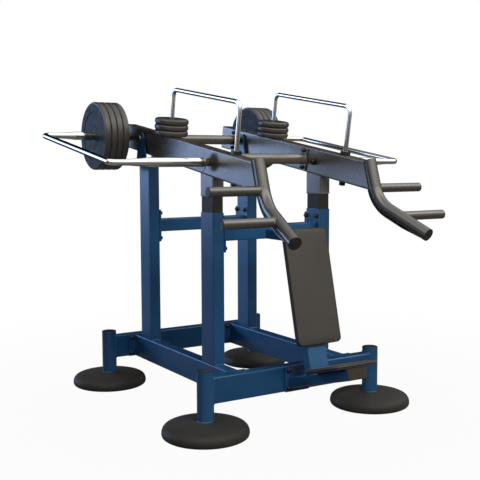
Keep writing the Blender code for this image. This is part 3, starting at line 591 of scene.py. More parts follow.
def side_rail(x):
    middle = at(x, 0, RAIL_MIDDLE)
    tube = length_of(section(TUBE_WIDTH, TUBE_DEPTH, TUBE_CORNER), RAIL_FRONT + WELD_BITE, RAIL_REAR - WELD_BITE)
    parts = painted(blue_coat, placed(tube, middle @ pointing_y()))
    for face, way in ((RAIL_FRONT, 1), (RAIL_REAR, -1)):
        parts += bolted_plate(RAIL_FLANGE_WIDTH, TUBE_DEPTH, middle @ at(0, face) @ pointing_y(way), 2 * SEAT_GAP)
        inner = face + way * FLANGE_THICKNESS
        parts += painted(blue_coat, *[straight_bead(x + side * TUBE_WIDTH / 2, inner, RAIL_MIDDLE, along_z=0.058)
                                      for side in (-1, 1)])
    return parts


for name, side in SIDES:
    frame_piece("rail_" + name, side_rail(side * UPRIGHT_X))
print("rail", round(RAIL_REAR - RAIL_FRONT, 3), "m from beam to beam")

# %% [markdown]
# ## Uprights
# Four box tubes stand on the rails, the rear pair taller because the levers pivot on them. Their sides
# are flush with the rail, so only the front and back joints show a bead. The top of each is closed.

# %% Uprights
FRONT_UPRIGHT_TOP, REAR_UPRIGHT_TOP = 1.132, 1.394


def upright(x, y, top):
    foot = RAIL_BOTTOM + TUBE_DEPTH + SEAT_GAP
    tube = length_of(section(TUBE_WIDTH, TUBE_DEPTH, TUBE_CORNER), foot, top, 0.0015)
    beads = [straight_bead(x, y + way * TUBE_DEPTH / 2, foot, along_x=0.030) for way in (-1, 1)]
    return painted(blue_coat, placed(tube, at(x, y)), *beads)


for row, way in ROWS:
    for name, side in SIDES:
        top = FRONT_UPRIGHT_TOP if way < 0 else REAR_UPRIGHT_TOP
        frame_piece(f"upright_{row}_{name}", upright(side * UPRIGHT_X, way * UPRIGHT_Y, top))
print("uprights", FRONT_UPRIGHT_TOP, "and", REAR_UPRIGHT_TOP, "m tall")

# %% [markdown]
# ## Posts and feet
# Each corner is a round post with a moulded plug in its top, standing on a heavy domed foot. The foot
# is a turned form: a drawn-in base, a full rounded rim and a shallow dome that rises to the post. It is
# turned from a smooth curve through a few measured points, because a few straight steps would show as
# rings on its soft highlight.

# %% Posts and feet
FOOT_RADIUS, FOOT_HEIGHT = 0.228, 0.080
POST_WALL, POST_LIP, PLUG_RISE = 0.004, 0.0012, 0.003
FOOT_SHAPE = ((0.942, 0.0), (0.985, 0.09), (1.0, 0.30), (0.970, 0.58), (0.880, 0.78), (0.660, 0.91), (0.30, 1.0))


def smooth_curve(points, steps=6):
    """Curve through all the points, with the slope at each taken from its neighbours."""
    curve = []
    for i in range(len(points) - 1):
        near = [points[min(max(i + k, 0), len(points) - 1)] for k in (-1, 0, 1, 2)]
        for t in (step / steps for step in range(steps)):
            curve.append(tuple(0.5 * (2 * s + (e - b) * t + (2 * b - 5 * s + 4 * e - a) * t * t
                                      + (3 * s - b - 3 * e + a) * t ** 3) for b, s, e, a in zip(*near)))
    return curve + [tuple(points[-1])]


def foot():
    profile = [(FOOT_RADIUS * wide, FOOT_HEIGHT * high) for wide, high in FOOT_SHAPE]
    collar = [(POST_RADIUS + 0.012, FOOT_HEIGHT), (POST_RADIUS + 0.010, FOOT_HEIGHT)]
    return painted(foot_rubber, spun(smooth_curve(profile) + collar, 96))


def post():
    """Tube with an eased rim, and a plug that domes out of it."""
    bore, rim = POST_RADIUS - POST_WALL, POST_TOP - PLUG_RISE
    tube = spun([(POST_RADIUS, FOOT_HEIGHT + SEAT_GAP)] + quarter(POST_RADIUS - POST_LIP, rim - POST_LIP, POST_LIP)
                + [(bore, rim), (bore, rim - 0.007)], 64)
    plug = spun([(POST_RADIUS - inset, POST_TOP - drop)
                 for inset, drop in ((0.0008, PLUG_RISE), (0.0008, 0.0016), (0.003, 0.0005), (0.012, 0.0))], 64)
    bead = weld_bead(level(circle(POST_RADIUS, 48), FOOT_HEIGHT + 0.001), size=0.0025)
    return painted(blue_coat, tube) + painted(plug_plastic, plug) + painted(blue_coat, bead)


for row, y in BEAM_YS:
    for name, side in SIDES:
        corner = FRAME_AXES @ at(side * POST_X, y)
        frame_piece(f"foot_{row}_{name}", foot(), corner)
        frame_piece(f"post_{row}_{name}", post(), axes=corner)
print("foot", FOOT_RADIUS * 2, "m across and", FOOT_HEIGHT, "m high")

# %% [markdown]
# ## Braces
# A lighter tube joins each pair of uprights at the height of the back pad's top, with a tall plate and
# four domed bolts at each end. These bolts face inward, so they show as dark points inside the frame.

# %% Braces
BRACE_BOTTOM, BRACE_HEIGHT, BRACE_DEPTH = 0.975, 0.080, 0.060
BRACE_FLANGE_HEIGHT = 0.195
SIDE_FACE = UPRIGHT_X - TUBE_WIDTH / 2 - SEAT_GAP


def brace(y):
    height = BRACE_BOTTOM + BRACE_HEIGHT / 2
    outline = section(BRACE_HEIGHT, BRACE_DEPTH, TUBE_CORNER)
    tube = length_of(outline, WELD_BITE - SIDE_FACE, SIDE_FACE - WELD_BITE)
    parts = painted(blue_coat, placed(tube, at(0, y, height) @ pointing_x()))
    for side in (-1, 1):
        parts += bolted_plate(BRACE_FLANGE_HEIGHT, TUBE_DEPTH, at(side * SIDE_FACE, y, height) @ pointing_x(-side))
        inner = side * (SIDE_FACE - FLANGE_THICKNESS)
        parts += painted(blue_coat, weld_bead([(inner, y + b, height + a) for a, b in outline]))
    return parts


for row, way in ROWS:
    frame_piece("brace_" + row, brace(way * UPRIGHT_Y))
print("brace", round(2 * SIDE_FACE, 3), "m between the uprights")

# %% [markdown]
# ## Buffers
# The levers come to rest on rubber blocks on the front uprights. A block is cut from thick sheet, a
# little smaller than the tube, so it has straight sides and only a slight softness on its edges.

# %% Buffers
STUB_BOTTOM = 1.219
BUFFER_INSET = 0.0035

for name, side in SIDES:
    outline = section(TUBE_WIDTH - 2 * BUFFER_INSET, TUBE_DEPTH - 2 * BUFFER_INSET, TUBE_CORNER)
    block = length_of(outline, FRONT_UPRIGHT_TOP + SEAT_GAP, STUB_BOTTOM - SEAT_GAP)
    block = placed(block, at(side * UPRIGHT_X, -UPRIGHT_Y))
    frame_piece("buffer_" + name, painted(foot_rubber, block))
print("buffer", round(STUB_BOTTOM - FRONT_UPRIGHT_TOP, 3), "m tall")

# %% [markdown]
# ## Seat arm and spine
# A flat 120 x 60 mm tube rises forward from the front beam to carry the seat, and the spine stands on
# it at a lean to carry the back pad. Both ends of such tubes are cut on a slant, so a ring at each end
# follows the plane it meets. A moulded plug of black plastic closes the seat arm's front; it is painted
# dark grey, as painted light on its lit face.

# %% Seat arm and spine
FLAT_WIDTH, FLAT_HEIGHT = 0.120, 0.060
SEAT_TILT, BACK_LEAN = math.radians(16.6), math.radians(13.5)
SEAT_FRONT_Y, SEAT_FRONT_Z = -1.196, 0.3406
SEAT_FLANGE_WIDTH = 0.160
SPINE_FRONT_Y, BACK_BOTTOM_Z, SPINE_TOP_Z = -0.8578, 0.450, 1.030
BRACKET_SIZE = 0.054
SEAT_AXES = FRAME_AXES @ at(0, SEAT_FRONT_Y, SEAT_FRONT_Z) @ Matrix.Rotation(-SEAT_TILT, 4, "X")
BACK_AXES = (FRAME_AXES @ at(0, SPINE_FRONT_Y, BACK_BOTTOM_Z)
             @ Matrix.Rotation(math.radians(90) - BACK_LEAN, 4, "X"))


def end_plug(width, depth, thickness=PLUG_THICKNESS, edge=0.0018):
    """Moulded plug that fills the end of a box tube."""
    outline = section(width - 2 * PLUG_GAP, depth - 2 * PLUG_GAP, TUBE_CORNER - PLUG_GAP)
    return length_of(outline, 0, thickness, edge)


def seat_arm():
    face = BEAM_YS[0][1] - BEAM_FACE
    reach = (face - FLANGE_THICKNESS + WELD_BITE - SEAT_FRONT_Y) / math.cos(SEAT_TILT)
    outline = section(FLAT_WIDTH, FLAT_HEIGHT, TUBE_CORNER)
    tilted = FRAME_AXES.inverted() @ SEAT_AXES @ at(0, 0, FLAT_HEIGHT / 2)
    ends = [[tilted @ Vector((x, 0.0045, z)) for x, z in outline],
            [tilted @ Vector((x, reach - math.tan(SEAT_TILT) * (z + FLAT_HEIGHT / 2), z)) for x, z in outline]]
    plug = placed(end_plug(FLAT_WIDTH, FLAT_HEIGHT, 0.0044, 0.002), tilted @ pointing_y())
    plate = bolted_plate(SEAT_FLANGE_WIDTH, TUBE_DEPTH, at(0, face, RAIL_MIDDLE) @ pointing_y(-1), 2 * SEAT_GAP)
    return painted(blue_coat, skin(ends), weld_bead(ends[1])) + painted(arm_plug_painted_lit_grey, plug) + plate


def spine():
    lean, slope = math.tan(BACK_LEAN), math.tan(SEAT_TILT)
    depth = FLAT_HEIGHT / math.cos(BACK_LEAN)
    arm_top = SEAT_FRONT_Z + (FLAT_HEIGHT + SEAT_GAP) / math.cos(SEAT_TILT)

    def middle(z):
        return SPINE_FRONT_Y + (z - BACK_BOTTOM_Z) * lean + depth / 2

    def seat_height(y):
        return (arm_top - slope * (middle(0) + y - SEAT_FRONT_Y)) / (1 + slope * lean)

    top, height = SPINE_TOP_Z - PLUG_THICKNESS, BRACE_BOTTOM + BRACKET_SIZE / 2
    outline, bracket = section(FLAT_WIDTH, depth, TUBE_CORNER), section(BRACKET_SIZE, BRACKET_SIZE, TUBE_CORNER)
    foot_ring = [(x, middle(seat_height(y)) + y, seat_height(y)) for x, y in outline]
    top_ring = [(x, middle(top) + y, top) for x, y in outline]
    tie = length_of(bracket, middle(height), -UPRIGHT_Y - BRACE_DEPTH / 2 - SEAT_GAP)
    joint = [(x, middle(height + z) + depth / 2, height + z) for x, z in bracket]
    return (painted(blue_coat, skin([foot_ring, top_ring]), weld_bead(foot_ring),
                    placed(tie, at(0, 0, height) @ pointing_y()), weld_bead(joint))
            + painted(plug_plastic, placed(end_plug(FLAT_WIDTH, depth), at(0, middle(top), top))))


frame_piece("seat_arm", seat_arm())
frame_piece("spine", spine())
print("seat tilts", round(math.degrees(SEAT_TILT), 1), "and the spine leans", round(math.degrees(BACK_LEAN), 1))

# %% [markdown]
# ## Pads
# A pad is foam glued to a plywood board, with a vinyl cover pulled over both and stapled behind. The
# pull makes the face nearly flat with a soft crown, and rounds its rim. To get that from the cloth
# rather than by hand, a slightly smaller form is remeshed, held at its back and blown up by a small
# pressure in Cloth, and no point may move more than a few millimetres. A welt is then laid where the
# face panel is sewn to the side band, by dropping its line on the finished surface. The back pad's
# side band, the faces that turn away from its front, is painted black as painted shade, and the seat's
# is cut from the same vinyl as its face.

# %% Pads
SEAT_WIDTH, SEAT_LENGTH, SEAT_THICKNESS = 0.274, 0.297, 0.026
BACK_WIDTH, BACK_LENGTH, BACK_THICKNESS = 0.284, 0.618, 0.040
BOARD_THICKNESS, BOARD_INSET, PAD_CORNER = 0.008, 0.012, 0.030
FOAM_VOXEL, CROWN, MOST_SWELL, STAPLED = 0.006, 0.0015, 0.0025, 0.0015
CLOTH_FRAMES, PRESSURE = 20, 4
WELT_RADIUS, WELT_INSET, SWELL_ROOM = 0.0016, 0.006, 0.004
FACE_LEAST = 0.82


def foam(width, length, thickness):
    levels = ((-0.003, 0.0), (-0.001, 0.15), (-0.001, 0.50), (-0.001, 0.80), (-0.003, 0.94), (-0.008, 1.0))
    rings = [level(section(width + 2 * grow, length + 2 * grow, PAD_CORNER + grow, 6), share * thickness)
             for grow, share in levels]
    rings += [level(section(s * width, s * length, s * PAD_CORNER, 6), thickness + CROWN * (1 - s * s))
              for s in (0.78, 0.5, 0.2)]
    return skin(rings)


def modelled(item):
    """The mesh that an object shows with its modifiers."""
    bpy.context.view_layer.update()
    return bpy.data.meshes.new_from_object(item.evaluated_get(bpy.context.evaluated_depsgraph_get()))


def linked(name, shape):
    """A bare object with the mesh of a shape."""
    mesh = bpy.data.meshes.new(name)
    shape.to_mesh(mesh)
    shape.free()
    item = bpy.data.objects.new(name, mesh)
    bpy.context.collection.objects.link(item)
    return item


def upholstered(name, shape):
    """Remeshes the foam, swells its cover by Cloth, and returns the cover's mesh."""
    item = linked(name, shape)
    remesh = item.modifiers.new("even_cloth", "REMESH")
    remesh.mode, remesh.voxel_size = "VOXEL", FOAM_VOXEL
    even = modelled(item)
    item.modifiers.clear()
    item.data = even
    before = [vertex.co.copy() for vertex in even.vertices]
    back = item.vertex_groups.new(name="stapled_back")
    back.add([i for i, point in enumerate(before) if point.z < STAPLED], 1.0, "REPLACE")
    cover = item.modifiers.new("cover", "CLOTH")
    cover.settings.vertex_group_mass = "stapled_back"
    cover.settings.use_pressure = True
    cover.settings.uniform_pressure_force = PRESSURE
    cover.settings.effector_weights.gravity = 0
    cover.point_cache.frame_end = CLOTH_FRAMES
    scene = bpy.context.scene
    for step in range(1, CLOTH_FRAMES + 1):
        scene.frame_set(step)
    swollen = modelled(item)
    item.modifiers.clear()
    for vertex, start, end in zip(even.vertices, before, swollen.vertices):
        push = end.co - start
        vertex.co = start + push * min(1.0, MOST_SWELL / max(push.length, 1e-9))
    scene.frame_set(1)
    bpy.data.objects.remove(item)
    return even


def welt(name, points, axes):
    """Round cord along a closed line of points."""
    middle = sum(points, Vector()) / len(points)
    rings = [ring_round(point, (points[(i + 1) % len(points)] - points[i - 1]).normalized(), point - middle,
                        WELT_RADIUS, 8) for i, point in enumerate(points)]
    item = linked(name, placed(skin(rings, closed=True), axes))
    item.data.shade_smooth()
    item.data.materials.append(black_vinyl_for_welt_and_shade)
    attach(item, "frame")
    return item


def pad(name, axes, middle, size, rise, band):
    """Board, cover and welt of a pad, with its side band in a vinyl of its own."""
    width, length, thickness = size
    outline = section(width - 2 * BOARD_INSET, length - 2 * BOARD_INSET, PAD_CORNER - BOARD_INSET / 2, 6)
    board = painted(board_paint, length_of(outline, 0, BOARD_THICKNESS, 0.0015))
    frame_piece(name + "_board", board, axes @ at(0, middle, rise))
    height = thickness - BOARD_THICKNESS - SWELL_ROOM
    cover = upholstered(name + "_cover", foam(width, length, height))
    cover_tree = BVHTree.FromPolygons([v.co for v in cover.vertices], [list(p.vertices) for p in cover.polygons])
    seam = [cover_tree.find_nearest(Vector((x, y, height * 0.95)))[0] for x, y in
            section(width - 2 * WELT_INSET, length - 2 * WELT_INSET, PAD_CORNER - WELT_INSET, 8, 24)]
    shape = bmesh.new()
    shape.from_mesh(cover)
    for face in shape.faces:
        face.smooth = True
    cover_axes = axes @ at(0, middle, rise + BOARD_THICKNESS + SEAT_GAP)
    item = piece(name + "_pad", painted(pad_vinyl, shape), "frame", cover_axes, sharp=80)
    item.data.materials.append(band)
    # Faces turned away from the pad's front take the band vinyl: black on the back pad, as painted shade.
    face_way = (axes.to_3x3() @ Vector((0, 0, 1))).normalized()
    for face in item.data.polygons:
        face.material_index = 0 if face.normal.dot(face_way) > FACE_LEAST else 1
    item.modifiers.clear()
    finer = item.modifiers.new("finer", "SUBSURF")
    finer.levels = finer.render_levels = 1
    cord = welt(name + "_welt", seam, cover_axes)
    print(name, "pad", [round(side, 3) for side in item.dimensions], "and its welt", round(cord.dimensions.y, 3))


pad("seat", SEAT_AXES, SEAT_LENGTH / 2 - FLAT_HEIGHT * math.tan(SEAT_TILT),
    (SEAT_WIDTH, SEAT_LENGTH, SEAT_THICKNESS), FLAT_HEIGHT + SEAT_GAP, pad_vinyl)
pad("back", BACK_AXES, BACK_LENGTH / 2, (BACK_WIDTH, BACK_LENGTH, BACK_THICKNESS), SEAT_GAP, black_vinyl_for_welt_and_shade)

# %% [markdown]
# ## Pivot brackets
# On each rear upright a base plate carries two ears with bosses, and the lever swings between them.
# An ear is cut from 10 mm plate: straight at its base, then a tangent up each side to a round top about
# the shaft.

# %% Pivot brackets
PIVOT_Y, PIVOT_Z = 0.3875, 1.543
EAR_GAP, EAR_THICKNESS, EAR_RADIUS, BOSS_RADIUS = 0.0095, 0.010, 0.040, 0.029


def ear_outline(half, height, radius, steps=28):
    start = math.atan2(-height, half) + math.acos(radius / math.hypot(half, height))
    turns = [start + (math.pi - 2 * start) * i / steps for i in range(steps + 1)]
    return [(half, -height)] + [(radius * math.cos(a), radius * math.sin(a)) for a in turns] + [(-half, -height)]


def pivot_bracket():
    inner = TUBE_WIDTH / 2 + EAR_GAP
    outer = inner + EAR_THICKNESS
    base = REAR_UPRIGHT_TOP + SEAT_GAP - PIVOT_Z
    shapes = [length_of(section(2 * outer, TUBE_DEPTH, 0.004, 3), base, base + EAR_THICKNESS)]
    upended = Matrix(((0, 0, 1, 0), (1, 0, 0, 0), (0, 1, 0, 0), (0, 0, 0, 1)))
    outline = ear_outline(TUBE_DEPTH / 2 - WELD_BITE, -base - EAR_THICKNESS / 2, EAR_RADIUS)
    for way, start in ((-1, -outer + 0.0005), (1, inner - 0.0005)):
        ear = placed(length_of(outline, start, start + EAR_THICKNESS, 0.0015), upended)
        boss = spun([(BOSS_RADIUS, TUBE_WIDTH / 2 + RUNNING_GAP), (BOSS_RADIUS, inner + WELD_BITE)])
        shapes += [ear, placed(eased(boss), pointing_x(way))]
        shapes += [straight_bead(edge, 0, base + EAR_THICKNESS, along_y=0.060)
                   for edge in (start, start + EAR_THICKNESS) if abs(edge) < outer - 0.001]
    return painted(blue_coat, *shapes)


for name, side in SIDES:
    frame_piece("pivot_bracket_" + name, pivot_bracket(),
                axes=FRAME_AXES @ at(side * UPRIGHT_X, PIVOT_Y, PIVOT_Z))
print("pivot", PIVOT_Z, "m above the ground")

# %% [markdown]
# ## Lever arms
# Each lever is a 146 x 70 mm box tube with a plugged rear end, a stub that rests on the buffer, and a
# front end whose side walls lap the press tube while its top and bottom are coped round it. Behind that
# tube a strip closes the box and runs on as a stiffener that thins out near the tip. A spigot on the
# outer wall, behind the pivot, carries the storage sleeve. The arm has its own axes, x across, s back
# along the lever and n square to it, so that the tilt of the levers is written once.

# %% Lever arms
LEVER_TILT = math.radians(9.2)
LEVER_DEPTH, LEVER_DROP, LEVER_REAR = 0.146, 0.012, 0.261
LEVER_TOP, LEVER_BOTTOM = LEVER_DEPTH / 2 - LEVER_DROP, -LEVER_DEPTH / 2 - LEVER_DROP
ARM_AXES = FRAME_AXES @ at(0, PIVOT_Y, PIVOT_Z) @ Matrix.Rotation(LEVER_TILT, 4, "X")
PRESS_RADIUS, PRESS_BEND = 0.0335, 0.195
PRESS_TOP, PRESS_KNEE, PRESS_END = (0.3545, -1.2381, 0.0668), (0.3545, -1.3434, -0.1451), (0.4105, -1.6833, -0.2440)
HANDLE_RADIUS = 0.0242
ROOT_REACH, ROOT_HALVINGS = 0.12, 18
HANDLE_SPOTS = (("upper", 0.156, 0.667), ("lower", 0.380, 0.688))
TUBE_WALL, WALL_LAP, BORE_DEPTH = 0.004, 0.016, 0.05
BACKING_WIDTH, BACKING_THICKNESS, BACKING_STEP, BACKING_RISE, BACKING_END = 0.042, 0.006, 0.004, 0.006, 0.040
BACKING_TAPER, BACKING_LIP, BACKING_TIP = 0.11, 0.0012, 0.012
STORE_S, STORE_STOP_X = 0.206, 0.477
NECK_RADIUS, DISC_RADIUS, DISC_THICKNESS = 0.0215, 0.050, 0.005


def arm_piece(name, parts, axes=Matrix.Identity(4)):
    return piece(name, parts, "press_arm", ARM_AXES @ axes)


def arm_point(x, y, z):
    """A point of the frame in the arm's own axes."""
    back, up = y - PIVOT_Y, z - PIVOT_Z
    cosine, sine = math.cos(LEVER_TILT), math.sin(LEVER_TILT)
    return Vector((x, back * cosine + up * sine, up * cosine - back * sine))


def press_path(side):
    return bent([(side * x, s, n) for x, s, n in (PRESS_TOP, PRESS_KNEE, PRESS_END)], PRESS_BEND, 20)


def lever_end(out, n, grip):
    """How far a line of the lever runs forward: until it meets the press tube or the upper grip."""
    run = (PRESS_KNEE[1] - PRESS_TOP[1]) / (PRESS_KNEE[2] - PRESS_TOP[2])
    round_tube = math.sqrt(max(0.0, (PRESS_RADIUS + SEAT_GAP) ** 2 - out * out))
    end = PRESS_TOP[1] + (n - PRESS_TOP[2]) * run + max(WALL_LAP, round_tube) * math.hypot(1, run)
    below = (HANDLE_RADIUS + SEAT_GAP) ** 2 - (n - grip.z) ** 2
    return max(end, grip.y + math.sqrt(below)) if out > 0.02 and below > 0 else end


def strip_behind(path):
    """Strip with eased edges behind the press tube: as wide as the lever inside it, narrower below."""
    lines = tangents(path)
    start = (path[1] - path[0]).normalized()
    wide, tip = TUBE_WIDTH - TUBE_WALL, path[-1] - lines[-1] * BACKING_END
    stations = [(path[0] - start * BACKING_RISE, start, wide), (path[1] - start * BACKING_STEP, start, wide)]
    stations += [(point, line, BACKING_WIDTH) for point, line in zip(path[1:-1], lines[1:-1])]
    stations += [(tip - lines[-1] * BACKING_TAPER, lines[-1], BACKING_WIDTH), (tip, lines[-1], BACKING_TIP)]
    rings = []
    for point, line, width in stations:
        thickness = BACKING_LIP if width == BACKING_TIP else BACKING_THICKNESS
        middle = PRESS_RADIUS + SEAT_GAP + thickness / 2
        across = (Vector((1, 0, 0)) - line * line.x).normalized()
        outline = section(width, thickness, min(0.0015, 0.4 * thickness), 2)
        rings.append(ring_on((point, across, across.cross(line)), [(a, middle + b) for a, b in outline]))
    return skin(rings)


def stub(x):
    """Shapes of the short tube under the lever that comes down on the buffer."""
    outline = section(TUBE_WIDTH - 2 * SEAT_GAP, TUBE_DEPTH, TUBE_CORNER)
    under = (LEVER_BOTTOM + WELD_BITE) / math.cos(LEVER_TILT)
    foot, lip = [[arm_point(x + a, b - UPRIGHT_Y, STUB_BOTTOM + up) for a, b in outline] for up in (0, 0.004)]
    top = [arm_point(x + a, b - UPRIGHT_Y, PIVOT_Z + (b - UPRIGHT_Y - PIVOT_Y) * math.tan(LEVER_TILT) + under)
           for a, b in outline]
    shapes = [skin([foot, top]), weld_bead(lip, size=0.0016)]
    middle = sum(point.y for point in top) / len(top)
    for way in (-1, 1):
        line = sorted((point for point in top if (point.y - middle) * way > 0.066), key=lambda point: point.x)
        shapes.append(open_bead(line[2:-2]))
    return shapes


def lever(side):
    x, path = side * UPRIGHT_X, press_path(side)
    grip = along(path, HANDLE_SPOTS[0][1])
    outline = section(TUBE_WIDTH, LEVER_DEPTH, TUBE_CORNER, 5, 28)
    bore = section(TUBE_WIDTH - 2 * TUBE_WALL, LEVER_DEPTH - 2 * TUBE_WALL, TUBE_CORNER - TUBE_WALL, 5, 28)
    rings = [[Vector((x + a, LEVER_REAR - PLUG_THICKNESS, b - LEVER_DROP)) for a, b in outline]]
    for ring, deeper in ((outline, 0), (bore, 0), (bore, BORE_DEPTH)):
        rings.append([Vector((x + a, lever_end(a * side, b - LEVER_DROP, grip) + deeper, b - LEVER_DROP))
                      for a, b in ring])
    stop = STORE_STOP_X - UPRIGHT_X
    turned = disc(NECK_RADIUS, TUBE_WIDTH / 2 - WELD_BITE, stop - 0.001), disc(DISC_RADIUS, stop - DISC_THICKNESS, stop)
    spigot = [placed(shape, at(x, STORE_S, -LEVER_DROP) @ pointing_x(side)) for shape in turned]
    root = [(x + side * TUBE_WIDTH / 2, STORE_S + a, b - LEVER_DROP) for a, b in circle(NECK_RADIUS, 32)]
    plug = placed(end_plug(TUBE_WIDTH, LEVER_DEPTH), at(x, LEVER_REAR - PLUG_THICKNESS, -LEVER_DROP) @ pointing_y())
    return (painted(graphite_coat, skin(rings), strip_behind(path), weld_bead(root), *spigot, *stub(x))
            + painted(plug_plastic, plug))


for name, side in SIDES:
    arm_piece("lever_" + name, lever(side))
print("lever", round(LEVER_REAR - lever_end(0.035, 0, Vector((0, 0, -1))), 3), "m long")

# %% [markdown]
# ## Cross tubes
# Two round tubes tie the levers into one arm. Each ends in a slim plate with a rounded outline and two
# bolts, one above and one below the tube.

# %% Cross tubes
CROSS_RADIUS, CROSS_BOLT_INSET = 0.030, 0.018
CROSS_WIDTH, CROSS_HEIGHT, CROSS_THICKNESS = 0.060, 0.134, 0.008


def cross_tube():
    half, up = SIDE_FACE - WELD_BITE, CROSS_HEIGHT / 2 - CROSS_BOLT_INSET
    parts = painted(graphite_coat, placed(spun([(CROSS_RADIUS, -half), (CROSS_RADIUS, half)]), pointing_x()))
    for side in (-1, 1):
        stand = at(side * SIDE_FACE) @ pointing_x(-side)
        plate = length_of(section(CROSS_HEIGHT, CROSS_WIDTH, 0.012, 4), 0, CROSS_THICKNESS)
        bead = weld_bead([(side * (SIDE_FACE - CROSS_THICKNESS), a, b) for a, b in circle(CROSS_RADIUS)])
        parts += painted(graphite_coat, placed(plate, stand), bead)
        parts += bolts_at([(-up, 0), (up, 0)], stand @ at(0, 0, CROSS_THICKNESS), 0.9)
    return parts


for name, s in (("front", -0.697), ("rear", 0.100)):
    arm_piece("cross_tube_" + name, cross_tube(), axes=at(0, s, -LEVER_DROP))
print("cross tubes", round(2 * SIDE_FACE, 3), "m between the levers")

# %% [markdown]
# ## Press tubes and handles
# The press tubes are the skilful part of the machine: they leave the lever, turn down and forward in
# one sweep, and carry two grips each. Every grip is a tube whose root is cut to the curve of the press
# tube. The cut is found as for the beams, by running each line of the grip inward until it meets the
# press tube, and the same points then carry the weld.

# %% Press tubes and handles
def plugged_end(tip, way, side, radius, wall):
    """Rim and ridged plug at the open end of a round tube, as parts."""
    spot = Matrix.Translation(tip) @ Matrix((side, way.cross(side), way)).transposed().to_4x4()
    bore = radius - wall
    rim = spun([(radius, -0.0026), (radius, -0.0022), (radius - 0.0006, -0.0016)], 40)
    ridge = [(radius - 0.0002, -0.0018), (radius - 0.0003, -0.0010), (radius - 0.0014, 0.0), (bore, 0.0002)]
    plug = spun(ridge + [(bore - 0.0012, -0.0006), (radius * 0.62, -0.0006), (radius * 0.58, 0.0002),
                         (radius * 0.2, 0.0004)], 40)
    return painted(graphite_coat, placed(rim, spot)) + painted(plug_plastic, placed(plug, spot))


def press_tube(side):
    carriers, lines = carried(press_path(side)), tangents(press_path(side))
    tube = skin([ring_on(carrier, circle(PRESS_RADIUS)) for carrier in carriers], caps=False)
    parts = painted(graphite_coat, tube)
    for end, way in ((0, -lines[0]), (-1, lines[-1])):
        parts += plugged_end(carriers[end][0], way, carriers[end][1], PRESS_RADIUS, 0.0035)
    return parts


def handle(side, distance, tip_x):
    path = press_path(side)
    root = along(path, distance)
    meets = []
    for a, b in circle(HANDLE_RADIUS, 32):
        near, far = 0.0, ROOT_REACH
        for _ in range(ROOT_HALVINGS):
            reach = (near + far) / 2
            inside = gap_to(path, root + Vector((side * reach, a, b))) < PRESS_RADIUS
            near, far = (reach, far) if inside else (near, reach)
        meets.append(root + Vector((side * near, a, b)))
    tip = [Vector((side * (tip_x - 0.001), root.y + a, root.z + b)) for a, b in circle(HANDLE_RADIUS, 32)]
    return (painted(graphite_coat, skin([meets, tip], caps=False), weld_bead(meets, size=0.003))
            + plugged_end(Vector((side * tip_x, root.y, root.z)), Vector((side, 0, 0)), Vector((0, 1, 0)),
                          HANDLE_RADIUS, 0.003))


for name, side in SIDES:
    arm_piece("press_tube_" + name, press_tube(side))
    for place, distance, tip_x in HANDLE_SPOTS:
        arm_piece(f"handle_{place}_{name}", handle(side, distance, tip_x))
print("press tube", round(sum((b - a).length for a, b in zip(press_path(1), press_path(1)[1:])), 3), "m long")

# %% [markdown]
# ## Shafts and plate stops
# A headed pin runs through each pair of ears, and a shaft through the lever carries the load sleeve,
# with a disc that stops the plates. They are lathe work, so they are turned profiles, with eased
# shoulders.

# %% Shafts and plate stops
LOAD_S, LOAD_STOP_X = -0.805, 0.430
SHAFT_RADIUS, PIVOT_HEAD, NUT_RADIUS, NUT_LENGTH = 0.0175, 0.016, 0.019, 0.030
EAR_FACE = TUBE_WIDTH / 2 + EAR_GAP + EAR_THICKNESS + RUNNING_GAP
HEX_LENGTH = NUT_LENGTH * 0.6


def domed_nut(radius, face):
    """Nut with a domed cap that points inward from a face."""
    hexagon = eased(spun([(radius, face - HEX_LENGTH), (radius, face)], 6), 0.001)
    dome = spun([(radius * 0.84, face - HEX_LENGTH + 0.0006)]
                + [(r, face - HEX_LENGTH - z) for r, z in quarter(radius * 0.3, 0, radius * 0.5, 6)], 32)
    return [hexagon, dome]


def shaft(name, turned, nut, side, axes=Matrix.Identity(4)):
    lay = pointing_x(side)
    arm_piece(name, painted(graphite_coat, *[placed(shape, lay) for shape in turned])
              + painted(bolt_steel, *[placed(shape, lay) for shape in nut]), axes=axes)


for name, side in SIDES:
    pin = disc(SHAFT_RADIUS, UPRIGHT_X - EAR_FACE, UPRIGHT_X + EAR_FACE)
    head = disc(NUT_RADIUS + 0.002, UPRIGHT_X + EAR_FACE, UPRIGHT_X + EAR_FACE + PIVOT_HEAD, 0.003)
    shaft("pivot_shaft_" + name, [pin, head], domed_nut(NUT_RADIUS + 0.002, UPRIGHT_X - EAR_FACE), side)
    outer = UPRIGHT_X + TUBE_WIDTH / 2 + SEAT_GAP
    lathe = [disc(SHAFT_RADIUS, SIDE_FACE, outer), disc(NECK_RADIUS, outer, LOAD_STOP_X - 0.001),
             disc(DISC_RADIUS, LOAD_STOP_X - DISC_THICKNESS, LOAD_STOP_X)]
    shaft("load_shaft_" + name, lathe, domed_nut(NUT_RADIUS, SIDE_FACE), side, at(0, LOAD_S, -LEVER_DROP))
print("plate stops at x", STORE_STOP_X, "and", LOAD_STOP_X)

# %% [markdown]
# ## Chrome rails
# Each side has one closed rail: a storage sleeve behind the pivot, a load sleeve near the press tube,
# and between their ends a thinner rod bent into a long U, so that plates can be slid from one to the
# other. A sleeve ends in a small ring and a long taper. The rail is one skin whose radius changes along
# it, because on the real one no step can be felt between taper and rod.

# %% Chrome rails
SLEEVE_RADIUS, SLEEVE_END_X, TAPER_LENGTH, ROD_RADIUS = 0.025, 0.758, 0.098, 0.0165
RAIL_X, RAIL_CORNER = 0.947, 0.040


